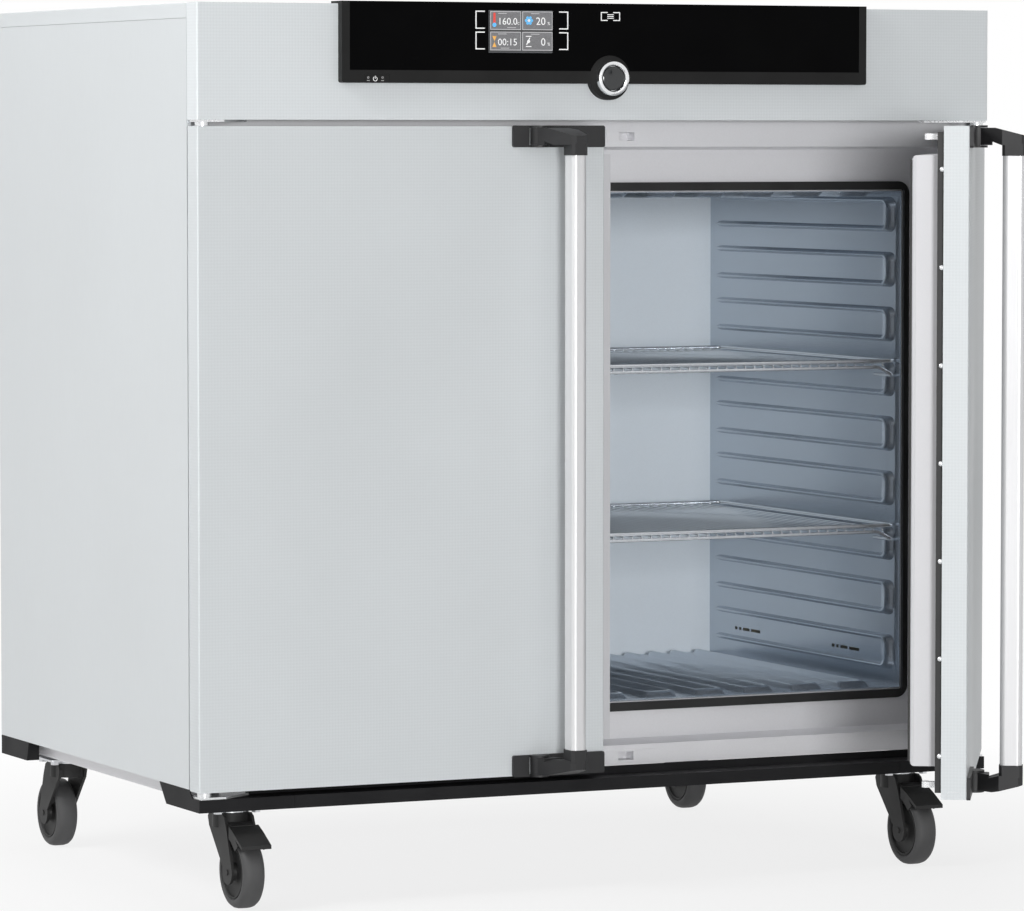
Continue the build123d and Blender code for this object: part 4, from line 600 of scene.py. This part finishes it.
def pressed_sheet(mesh, corners, places, holes, rise):
    """A chamber sheet in its own plane (depth, across, height): pressed hairpins, slots, one skin."""
    for place in places:
        rings = [[(u + HAIRPIN_FRONT, v + place, h) for u, v, h in ring] for ring in hairpin_rings(rise)]
        loft(mesh, rings)
    feet = [edge for edge in mesh.edges if edge.is_boundary]
    loops = [corners] + holes
    edges = list(feet)
    for loop in loops:
        verts = [mesh.verts.new((u, v, 0)) for u, v in loop]
        edges += [mesh.edges.new((verts[i], verts[(i + 1) % len(verts)])) for i in range(len(verts))]
    bmesh.ops.triangle_fill(mesh, use_beauty=True, use_dissolve=False, edges=edges, normal=(0, 0, 1))
    for face in mesh.faces:
        if face.normal.z < 0:
            face.normal_flip()
    bmesh.ops.solidify(mesh, geom=mesh.faces[:], thickness=SHEET_T)


def air_slots():
    """Outlines of the air slots in a side wall, as (depth, across) points."""
    loops = []
    for start in AIR_SLOT_STARTS:
        depth = start
        for length in AIR_SLOT_LENGTHS:
            low = AIR_SLOT_Z - CHAMBER_FLOOR_Z - AIR_SLOT_H / 2
            high = low + AIR_SLOT_H
            loops.append([(depth, low), (depth + length, low), (depth + length, high), (depth, high)])
            depth += length + AIR_SLOT_GAP
    return loops


def wall_matrix(origin, depth, across, inward):
    """Takes a sheet's (depth, across, height) to the cabinet's frame."""
    columns = [Vector(depth), Vector(across), Vector(inward)]
    matrix = Matrix.Identity(4)
    for index, column in enumerate(columns):
        for row in range(3):
            matrix[row][index] = column[row]
        matrix[index][3] = origin[index]
    return matrix


def finish_sheet(name, mesh, replaced, place):
    finish_piece(name, mesh, "cabinet", "chamber_sheet", replaced, 32.0, place)


class OVEN_OT_press_walls(bpy.types.Operator):
    """Press the chamber's side walls, floor and ceiling with their hairpin ribs"""

    bl_idname = "oven.press_walls"
    bl_label = "Press chamber walls"

    def execute(self, context):
        rise = context.scene.oven.rib_rise / MM
        depth = CHAMBER_BACK_Y - CHAMBER_FRONT_Y
        height = CHAMBER_TOP_Z - CHAMBER_FLOOR_Z
        rows = [SIDE_RIB_MID_Z + SIDE_RIB_PITCH * k - CHAMBER_FLOOR_Z for k in range(-4, 5)]
        side_corners = [(0, 0), (depth, 0), (depth, height), (0, height)]
        walls = (("left", -1), ("right", 1))
        for index, (name, sign) in enumerate(walls):
            mesh = bmesh.new()
            pressed_sheet(mesh, side_corners, rows, air_slots(), rise)
            origin = (sign * CHAMBER_HALF_W, CHAMBER_FRONT_Y, CHAMBER_FLOOR_Z)
            place = wall_matrix(origin, (0, 1, 0), (0, 0, 1), (-sign, 0, 0))
            replaced = ("chamber_side_walls",) if index == 0 else ()
            finish_sheet(f"pressed_wall_{name}", mesh, replaced, place)
        width = 2 * CHAMBER_HALF_W
        columns = [FLOOR_RIB_SHIFT + FLOOR_RIB_PITCH * k + CHAMBER_HALF_W for k in range(-6, 7)]
        flat_corners = [(0, 0), (depth, 0), (depth, width), (0, width)]
        for name, z, up in (("floor", CHAMBER_FLOOR_Z, 1), ("ceiling", CHAMBER_TOP_Z, -1)):
            mesh = bmesh.new()
            pressed_sheet(mesh, flat_corners, columns, [], rise)
            origin = (-CHAMBER_HALF_W, CHAMBER_FRONT_Y, z)
            place = wall_matrix(origin, (0, 1, 0), (1, 0, 0), (0, 0, up))
            finish_sheet(f"pressed_{name}", mesh, (f"chamber_{name}",), place)
        return {"FINISHED"}


SHELF_ROD_R = 3.0
SHELF_HOOK_R = 2.5
SHELF_WIRE_PITCH = 15.0


class OVEN_OT_bend_shelves(bpy.types.Operator):
    """Bend and weld the two wire shelves"""

    bl_idname = "oven.bend_shelves"
    bl_label = "Bend wire shelves"

    def execute(self, context):
        oven = context.scene.oven
        rod_r = SHELF_ROD_R
        wire_r = oven.shelf_wire / 2 / MM
        for name, body, node in (
            ("upper", "upper_shelf", "shelf_upper"),
            ("lower", "lower_shelf", "shelf_lower"),
        ):
            low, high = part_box(node)
            top = high[2] / MM - rod_r
            half = (high[0] - low[0]) / MM / 2 - rod_r
            y0 = (low[1] - FRONT_Y) / MM + rod_r
            y1 = (high[1] - FRONT_Y) / MM - rod_r
            mesh = bmesh.new()
            front_low = top - 9.0
            turns = ((0, y1), (-half, y1), (-half, y0), (half, y0), (half, y1), (0, y1))
            tube(mesh, rounded_path([(x, y, top) for x, y in turns], 12.0, 6), rod_r, 12)
            hook_in, drop = half - 26.0, top - 21.5
            hook = [
                (-half + 1, y0 + 58, drop),
                (-half + 1, y0 + 2, drop),
                (-hook_in, y0, front_low),
                (hook_in, y0, front_low),
                (half - 1, y0 + 2, drop),
                (half - 1, y0 + 58, drop),
            ]
            tube(mesh, rounded_path(hook, 7.0, 5), SHELF_HOOK_R, 10)
            count = int((2 * half - SHELF_WIRE_PITCH) / SHELF_WIRE_PITCH)
            under = top - rod_r - wire_r + 0.5
            line = ((y0 - 0.5, front_low + 1), (y0 + 1.5, under), (y1 - 2, under), (y1, top - 1))
            for index in range(count):
                x = (index - (count - 1) / 2) * SHELF_WIRE_PITCH
                tube(mesh, rounded_path([(x, y, z) for y, z in line], 1.4, 2), wire_r, 6)
            finish_piece(f"wire_shelf_{name}", mesh, body, "bright_wire", (node,), 50.0)
        return {"FINISHED"}


# Casters

WHEELS = ("front_left", "front_right", "rear_left", "rear_right")

# Half profiles of a wheel, as (along the axle, radius).
TYRE_PROFILE = [
    (-13, 37.5), (-15.2, 38.5), (-16, 40.5), (-15.6, 43.5),
    (-14, 46.5), (-11, 48.8), (-7, 49.8), (-3, 50),
]
HUB_PROFILE = [
    (-17.5, 4.1), (-17.5, 10), (-16.8, 11), (-12.5, 12), (-11, 14), (-10.5, 30),
    (-11.5, 33), (-14.5, 34), (-14.5, 35.6), (-13.2, 36), (-13.2, 38),
]


def both_sides(profile):
    return profile + [(-along, radius) for along, radius in reversed(profile)]


def wheel_centre(place):
    low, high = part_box(f"wheel_{place}")
    return [
        ((low[0] + high[0]) / 2 - CENTRE_X) / MM,
        ((low[1] + high[1]) / 2 - FRONT_Y) / MM,
        (low[2] + high[2]) / 2 / MM,
    ]


class OVEN_OT_turn_wheels(bpy.types.Operator):
    """Turn the four caster wheels: grey tyres on dark hubs"""

    bl_idname = "oven.turn_wheels"
    bl_label = "Turn caster wheels"

    def execute(self, context):
        for place in WHEELS:
            centre = wheel_centre(place)
            body = f"roller_{place}"
            mesh = bmesh.new()
            lathe(mesh, both_sides(TYRE_PROFILE), centre, (1, 0, 0), 72)
            finish_piece(f"tyre_{place}", mesh, body, "tread_rubber", (f"wheel_{place}",), 35.0)
            mesh = bmesh.new()
            lathe(mesh, both_sides(HUB_PROFILE), centre, (1, 0, 0), 60)
            finish_piece(f"hub_{place}", mesh, body, "caster_moulding", (), 35.0)
        return {"FINISHED"}


# Control panel

def bracket_outline(x, z0, z1, reach, line):
    """A touch bracket: an upright with a short arm at each end. reach is to the right, or negative."""
    turn = line if reach > 0 else -line
    return [
        (x, z0), (x + reach, z0), (x + reach, z0 + line), (x + turn, z0 + line),
        (x + turn, z1 - line), (x + reach, z1 - line), (x + reach, z1), (x, z1),
    ]


def panel_piece(name, outlines, material, lift=0.25, body="cabinet", face=PANEL_FACE_Y):
    """Thin raised marks on the panel's glass."""
    mesh = bmesh.new()
    for outline in outlines:
        plate(mesh, outline, face - lift, face)
    return finish_piece(name, mesh, body, material)


def digits(name, text, x, z, size, material, lift=0.45):
    """Plain figures on the display."""
    curve = bpy.data.curves.new(name + "_curve", "FONT")
    curve.body = text
    curve.size = size * MM
    curve.extrude = 0.06 * MM
    curve.resolution_u = 3
    holder = bpy.data.objects.new(name + "_holder", curve)
    bpy.context.scene.collection.objects.link(holder)
    bpy.context.view_layer.update()
    evaluated = holder.evaluated_get(bpy.context.evaluated_depsgraph_get())
    data = bpy.data.meshes.new_from_object(evaluated)
    bpy.data.objects.remove(holder)
    bpy.data.curves.remove(curve)
    place = at(x, PANEL_FACE_Y - lift, z)
    data.transform(Matrix.Translation(place) @ Matrix.Rotation(math.pi / 2, 4, "X"))
    data.name = name
    data.materials.clear()
    data.materials.append(MATERIALS[material])
    piece = bpy.data.objects.new(name, data)
    bpy.context.scene.collection.objects.link(piece)
    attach(piece, "cabinet")
    return piece


class OVEN_OT_print_panel(bpy.types.Operator):
    """Light the display's four fields and print the panel's marks"""

    bl_idname = "oven.print_panel"
    bl_label = "Print control panel"

    def execute(self, context):
        line = 1.5
        brackets = []
        for z0, z1 in ((1199.1, 1223.8), (1170.8, 1195.2)):
            brackets.append(bracket_outline(-206.0, z0, z1, 14.0, line))
            brackets.append(bracket_outline(-64.8, z0, z1, -14.0, line))
        brackets.append(bracket_outline(-14.5, 1211.5, 1223.7, 10.5, 1.3))
        brackets.append(bracket_outline(15.1, 1211.5, 1223.7, -10.5, 1.3))
        panel_piece("touch_brackets", brackets, "white_print")
        bars = [box_outline(-4.6, 5.2, z, z + 1.1) for z in (1214.6, 1217.1, 1219.6)]
        panel_piece("menu_bars", bars, "white_print")
        x_edges = ((-183.6, -137.0), (-135.0, -89.0))
        z_edges = ((1198.0, 1223.4), (1169.8, 1195.2))
        rim = 0.9
        fields, rims = [], []
        for x0, x1 in x_edges:
            for z0, z1 in z_edges:
                fields.append(box_outline(x0 + rim, x1 - rim, z0 + rim, z1 - rim))
                rims.append(box_outline(x0, x1, z0, z1))
        screen = [box_outline(-185.8, -89.2, 1167.2, 1223.8)]
        panel_piece("display_screen", screen, "display_dark", 0.1)
        panel_piece("display_rims", rims, "display_rim", 0.22)
        panel_piece("display_fields", fields, "display_tile", 0.34)
        digits("field_temperature", "160.0", -172.5, 1205.0, 13.5, "white_print")
        digits("field_fan", "20", -114.5, 1205.0, 15.0, "white_print")
        digits("field_time", "00:15", -172.5, 1176.6, 13.5, "white_print")
        digits("field_flap", "0", -107.0, 1176.6, 15.0, "white_print")
        digits("unit_temperature", "°C", -144.8, 1205.0, 5.0, "white_print")
        digits("unit_fan", "%", -96.8, 1205.0, 6.0, "white_print")
        digits("unit_flap", "%", -96.8, 1176.6, 6.0, "white_print")
        starts = (
            (-172, 1220.0), (-158, 1200.6), (-172, 1191.8),
            (-168, 1172.4), (-122, 1191.8), (-122, 1220.0),
        )
        lines = [box_outline(x, x + 13, z, z + 0.8) for x, z in starts]
        panel_piece("field_lines", lines, "display_rim", 0.45)
        stem = [(-179.3, 1206), (-175.7, 1206), (-175.7, 1220)]
        stem += disc_outline(-177.5, 1219.6, 1.8, 8, 0, math.pi)
        panel_piece("thermometer_tube", [stem], "red_mark", 0.45)
        panel_piece("thermometer_bulb", [disc_outline(-177.5, 1204.6, 3.0)], "blue_mark", 0.5)
        blades = []
        for turn in range(6):
            angle = math.pi / 3 * turn
            blades.append(disc_outline(*round_point(-125.0, 1210.9, 4.2, angle), 2.1, 14))
        panel_piece("fan_mark", blades, "blue_mark", 0.45)
        hub = [disc_outline(-125.0, 1210.9, 2.0, 14)]
        panel_piece("fan_mark_hub", hub, "white_print", 0.5)
        glass = [
            [(-180.6, 1189.2), (-174.4, 1189.2), (-177.5, 1182.2)],
            [(-180.6, 1174.2), (-177.5, 1181.2), (-174.4, 1174.2)],
        ]
        panel_piece("hourglass_mark", glass, "amber_mark", 0.45)
        damper = [
            box_outline(-129.8, -121.2, 1188.6, 1189.8),
            box_outline(-129.8, -121.2, 1174.6, 1175.8),
            [(-128.0, 1177.2), (-123.0, 1187.0), (-124.4, 1187.6), (-129.2, 1178.0)],
            disc_outline(-125.5, 1182.2, 2.3, 14),
        ]
        panel_piece("damper_mark", damper, "white_print", 0.45)
        return {"FINISHED"}


def ring_outline(x, z, outer, inner, start, sweep, steps=20):
    """Part of a ring in the panel's plane."""
    angles = [start + sweep * k / steps for k in range(steps + 1)]
    out = [round_point(x, z, outer, angle) for angle in angles]
    return out + [round_point(x, z, inner, angle) for angle in reversed(angles)]


class OVEN_OT_mark_power_key(bpy.types.Operator):
    """Print the power key's three small icons"""

    bl_idname = "oven.mark_power_key"
    bl_label = "Mark power key"

    def execute(self, context):
        power = [
            ring_outline(-356.3, 1129.8, 3.3, 2.5, math.radians(120), math.radians(300)),
            box_outline(-356.7, -355.9, 1129.8, 1133.9),
        ]
        side = []
        for x in (-366.6, -345.4):
            side.append(ring_outline(x, 1131.6, 1.5, 0.8, 0, 2 * math.pi * 0.98))
            side.append(box_outline(x - 2, x + 2, 1127.0, 1128.0))
        panel_piece("power_mark", power, "white_print", 0.2, "power_button")
        panel_piece("power_side_marks", side, "grey_print", 0.2, "power_button")
        return {"FINISHED"}


# The knob's two turned pieces: name, body, finish, slot, node, then the profile at the back, its start
# and its end, as (from the back, radius), and between them the front as (under the face, radius).
KNOB_PIECES = (
    (
        "polished_ring", "ring", "turned_aluminium", "ring_metal", "turn_ring",
        ([(0, 24.25), (0.6, 24.25)], [(6.0, 17.2), (6.0, 10.1), (0, 10.1)]),
        ((3.2, 24.0), (1.2, 23.3), (0.3, 22.0), (0, 20.5), (0.4, 19.0), (1.6, 17.9), (3.2, 17.3)),
        96,
    ),
    (
        "dished_key", "confirm_button", "gloss_key", "key_black", "confirm_key",
        ([(0, 0.01), (0, 4.9)], []),
        (
            (3.7, 4.9), (3.7, 16.6), (1.6, 16.6), (0.6, 16.2),
            (0, 15.0), (0, 14.0), (1.0, 9.0), (1.3, 0.01),
        ),
        72,
    ),
)


class OVEN_OT_turn_knob(bpy.types.Operator):
    """Turn the bright ring and the dished key in its middle"""

    bl_idname = "oven.turn_knob"
    bl_label = "Turn knob"

    def execute(self, context):
        for name, body, material, slot, node, back_part, front_part, steps in KNOB_PIECES:
            low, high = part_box(node)
            front, back = (low[1] - FRONT_Y) / MM, (high[1] - FRONT_Y) / MM
            start, end = back_part
            face = [(back - front - below, radius) for below, radius in front_part]
            mesh = bmesh.new()
            lathe(mesh, start + face + end, (0, back, KNOB_Z), (0, -1, 0), steps)
            finish_piece(name, mesh, body, material, (node,), 30.0)
        return {"FINISHED"}


# Doors, drawn on the closed left one

EDGE_X = -2.5
DOOR_T = 34.4
DOOR_BOTTOM_Z = 164.0
DOOR_TOP_Z = 1065.7
RIVETS = 7
RIVET_LOW_Z = 222.0
RIVET_PITCH = 131.0

# The folds at a corner of the door's edge: two ends, each as (Y, distance from the corner).
DOOR_FOLDS = (
    ((34.0, 0.0), (24.0, 10.0)),
    ((0.4, 0.0), (10.4, 10.0)),
    ((24.0, 10.0), (10.4, 10.0)),
)

STRIKE_Z = (1051.5, 178.2)
WINDOW_X = (42.0, 66.8)
WINDOW_HALF_H = 6.0
POCKET_FRONT_Y = 47.6
POCKET_BACK_Y = 69.0

class OVEN_OT_rivet_doors(bpy.types.Operator):
    """Set the rivets along the doors' inner edges and draw the folded corners"""

    bl_idname = "oven.rivet_doors"
    bl_label = "Rivet doors"

    def execute(self, context):
        for side in ("left", "right"):
            place = door_matrix(side)
            body = f"{side}_door"
            mesh = bmesh.new()
            head = [(0, 0.01), (0, 3.4), (0.6, 3.4), (1.5, 2.8), (2.1, 1.6), (2.3, 0.01)]
            part = bmesh.new()
            for index in range(RIVETS):
                z = RIVET_LOW_Z + RIVET_PITCH * index
                lathe(part, head, (EDGE_X - 4.0, DOOR_T + 2.2, z), (1, 0, 0), 20)
                made = bpy.data.meshes.new("rivet")
                part.to_mesh(made)
                mesh.from_mesh(made)
                bpy.data.meshes.remove(made)
                part.clear()
            part.free()
            rivets = f"{side}_door_rivets"
            finish_piece(rivets, mesh, body, "latch_steel", (), 40.0, place)
            mesh = bmesh.new()
            for z, sign in ((DOOR_TOP_Z, -1), (DOOR_BOTTOM_Z, 1)):
                for (ya, da), (yb, db) in DOOR_FOLDS:
                    ends = [(EDGE_X, ya, z + sign * (da + 0.6)), (EDGE_X, yb, z + sign * db)]
                    tube(mesh, ends, 0.22, 6)
            finish_piece(f"{side}_door_folds", mesh, body, "frame_sheet", (), 40.0, place)
        return {"FINISHED"}


class OVEN_OT_fold_strike_pockets(bpy.types.Operator):
    """Fold the shallow pockets behind the windows of the four strike plates"""

    bl_idname = "oven.fold_strike_pockets"
    bl_label = "Fold strike pockets"

    def execute(self, context):
        mesh = bmesh.new()
        y0, y1 = POCKET_FRONT_Y, POCKET_BACK_Y
        for sign in (-1, 1):
            x0, x1 = sorted(sign * edge for edge in WINDOW_X)
            for z in STRIKE_Z:
                z0, z1 = z - WINDOW_HALF_H, z + WINDOW_HALF_H
                for walls in (
                    (x0 - 1, x1 + 1, y1, y1 + 1, z0 - 1, z1 + 1),
                    (x0 - 1, x0, y0, y1, z0 - 1, z1 + 1),
                    (x1, x1 + 1, y0, y1, z0 - 1, z1 + 1),
                    (x0, x1, y0, y1, z0 - 1, z0),
                    (x0, x1, y0, y1, z1, z1 + 1),
                ):
                    slab(mesh, *walls)
        finish_piece("strike_pockets", mesh, "cabinet", "frame_sheet", (), 30.0)
        return {"FINISHED"}


class OVEN_OT_finish_frame(bpy.types.Operator):
    """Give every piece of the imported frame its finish"""

    bl_idname = "oven.finish_frame"
    bl_label = "Finish frame"

    def execute(self, context):
        make_materials(context.scene.oven)
        for name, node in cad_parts.items():
            material = MATERIALS[node_finish(name)]
            if not node.material_slots:
                node.data.materials.append(material)
            for slot in node.material_slots:
                slot.material = material
        return {"FINISHED"}


# Stage

def area_light(name, place, target, size, power):
    """A soft lamp aimed at a point."""
    lamp = bpy.data.lights.new(name, "AREA")
    lamp.shape = "RECTANGLE"
    lamp.size, lamp.size_y = size
    lamp.energy = power
    holder = bpy.data.objects.new(name, lamp)
    bpy.context.scene.collection.objects.link(holder)
    holder.location = place
    holder.rotation_euler = (Vector(target) - Vector(place)).to_track_quat("-Z", "Y").to_euler()


def background_share(backdrop):
    """1 for rays that see the background straight, in gloss or through glass."""
    path = add_node(backdrop, "ShaderNodeLightPath").outputs
    total = combine(backdrop, "ADD", path["Is Camera Ray"], path["Is Glossy Ray"])
    total = combine(backdrop, "ADD", total, path["Is Transmission Ray"])
    return combine(backdrop, "MINIMUM", total, 1.0)


class OVEN_OT_set_stage(bpy.types.Operator):
    """Set the pale floor, the soft lights, the background and the camera"""

    bl_idname = "oven.set_stage"
    bl_label = "Set stage"

    def execute(self, context):
        oven = context.scene.oven
        scene = context.scene
        floor_data = bpy.data.meshes.new("studio_floor")
        mesh = bmesh.new()
        bmesh.ops.create_grid(mesh, x_segments=24, y_segments=24, size=16.0)
        mesh.to_mesh(floor_data)
        mesh.free()
        floor = bpy.data.objects.new("studio_floor", floor_data)
        floor.location = (0, 0, -0.0005)
        scene.collection.objects.link(floor)
        material, shader = base_material("studio_floor", specular=0.2)
        place = mapped_place(material)
        paper = noise(material, place, 6.0, 3.0)
        tone = blend_colours(material, paper, (0.68, 0.68, 0.68), (0.72, 0.72, 0.72))
        wire(material, tone, shader.inputs["Base Color"])
        shader.inputs["Roughness"].default_value = 0.9
        glow = add_node(material, "ShaderNodeEmission")
        glow.inputs["Color"].default_value = (1, 1, 1, 1)
        mix = add_node(material, "ShaderNodeMixShader")
        away = add_node(material, "ShaderNodeVectorMath", operation="LENGTH")
        wire(material, place, away.inputs[0])
        fade = spread(material, away.outputs["Value"], 0.8, 1.0, 0.6, 1.8)
        wire(material, combine(material, "MULTIPLY", background_share(material), fade), mix.inputs[0])
        wire(material, shader.outputs[0], mix.inputs[1])
        wire(material, glow.outputs[0], mix.inputs[2])
        wire(material, mix.outputs[0], material.node_tree.nodes["Material Output"].inputs["Surface"])
        floor_data.materials.append(material)

        world = bpy.data.worlds.new("studio")
        scene.world = world
        world.use_nodes = True
        background = world.node_tree.nodes["Background"]
        tone = blend_colours(world, background_share(world), (oven.fill_light,) * 3, (1.0, 1.0, 1.0))
        wire(world, tone, background.inputs["Color"])
        background.inputs["Strength"].default_value = 1.0

        middle = (0.0, 0.0, 0.6)
        area_light("key_softbox", (-3.1, -0.45, 2.9), (-0.6, 0.1, 0.9), (1.4, 1.4), oven.key_power)
        area_light("front_softbox", (-2.4, -9.0, 1.3), (0.1, 0.0, 0.65), (1.6, 1.6), oven.front_power)
        area_light("top_softbox", (0.0, 0.4, 4.2), middle, (3.2, 3.2), oven.top_power)
        area_light("back_softbox", (1.5, 4.5, 2.6), middle, (3.0, 2.4), oven.top_power)

        camera = bpy.data.cameras.new("photo_camera")
        camera.lens = oven.camera_lens
        camera.sensor_width = 36.0
        holder = bpy.data.objects.new("photo_camera", camera)
        scene.collection.objects.link(holder)
        holder.location = at(*oven.camera_place)
        holder.rotation_euler = (math.pi / 2 - oven.camera_pitch, 0, -oven.camera_turn)
        camera.clip_end = 100.0
        scene.camera = holder
        scene.view_settings.view_transform = "Standard"
        return {"FINISHED"}


class OvenSettings(bpy.types.PropertyGroup):
    """Sizes, colours and lights that a user may change before the steps are run"""

    casing_colour: FloatVectorProperty(
        name="Casing colour", description="Stainless sheet of the casing and the doors",
        subtype="COLOR", size=3, min=0, max=1, default=(0.66, 0.69, 0.705),
    )
    frame_colour: FloatVectorProperty(
        name="Frame colour", description="Stainless front frame and inner door panels",
        subtype="COLOR", size=3, min=0, max=1, default=(0.71, 0.71, 0.73),
    )
    chamber_colour: FloatVectorProperty(
        name="Chamber colour", description="Stainless sheet inside the chamber",
        subtype="COLOR", size=3, min=0, max=1, default=(0.50, 0.55, 0.61),
    )
    rib_rise: FloatProperty(
        name="Rib rise", description="Height of the pressed ribs in the chamber",
        subtype="DISTANCE", unit="LENGTH", default=0.008, min=0.002, max=0.012,
    )
    shelf_wire: FloatProperty(
        name="Shelf wire", description="Diameter of the shelves' cross wires",
        subtype="DISTANCE", unit="LENGTH", default=0.0026, min=0.001, max=0.004,
    )
    key_power: FloatProperty(
        name="Key light", description="Power of the left softbox", unit="POWER", default=84.0, min=0
    )
    front_power: FloatProperty(
        name="Front light", description="Power of the front softbox", unit="POWER", default=370.0, min=0
    )
    top_power: FloatProperty(
        name="Top light", description="Power of the top and back softboxes",
        unit="POWER", default=16.0, min=0,
    )
    fill_light: FloatProperty(
        name="Fill light", description="Even light from all round",
        subtype="FACTOR", default=0.19, min=0, max=1,
    )
    camera_place: FloatVectorProperty(
        name="Camera place", description="Camera in millimetres of the cabinet's frame",
        size=3, default=(-3320.27, -6735.16, 1054.88),
    )
    camera_lens: FloatProperty(
        name="Camera lens", description="Focal length in millimetres", unit="CAMERA", default=189.42
    )
    camera_pitch: FloatProperty(
        name="Camera pitch", description="How far the camera looks down",
        subtype="ANGLE", default=math.radians(3.4144),
    )
    camera_turn: FloatProperty(
        name="Camera turn", description="How far the camera looks right",
        subtype="ANGLE", default=math.radians(25.2447),
    )


STEPS = (
    OVEN_OT_finish_frame,
    OVEN_OT_press_walls,
    OVEN_OT_bend_shelves,
    OVEN_OT_turn_wheels,
    OVEN_OT_print_panel,
    OVEN_OT_mark_power_key,
    OVEN_OT_turn_knob,
    OVEN_OT_rivet_doors,
    OVEN_OT_fold_strike_pockets,
    OVEN_OT_set_stage,
)


class OVEN_PT_steps(bpy.types.Panel):
    """The oven's steps, in the order in which they are run"""

    bl_idname = "OVEN_PT_steps"
    bl_label = "Laboratory oven"
    bl_space_type = "VIEW_3D"
    bl_region_type = "UI"
    bl_category = "Oven"

    def draw(self, context):
        oven = context.scene.oven
        for name in ("casing_colour", "frame_colour", "chamber_colour", "rib_rise", "shelf_wire"):
            self.layout.prop(oven, name)
        for step in STEPS:
            self.layout.operator(step.bl_idname)


CLASSES = (OvenSettings, *STEPS, OVEN_PT_steps)


def register():
    for item in CLASSES:
        bpy.utils.register_class(item)
    bpy.types.Scene.oven = PointerProperty(type=OvenSettings)


def unregister():
    del bpy.types.Scene.oven
    for item in reversed(CLASSES):
        bpy.utils.unregister_class(item)


def main():
    register()
    for step in STEPS:
        group, _, name = step.bl_idname.partition(".")
        getattr(getattr(bpy.ops, group), name)()


if __name__ == "__main__":
    main()
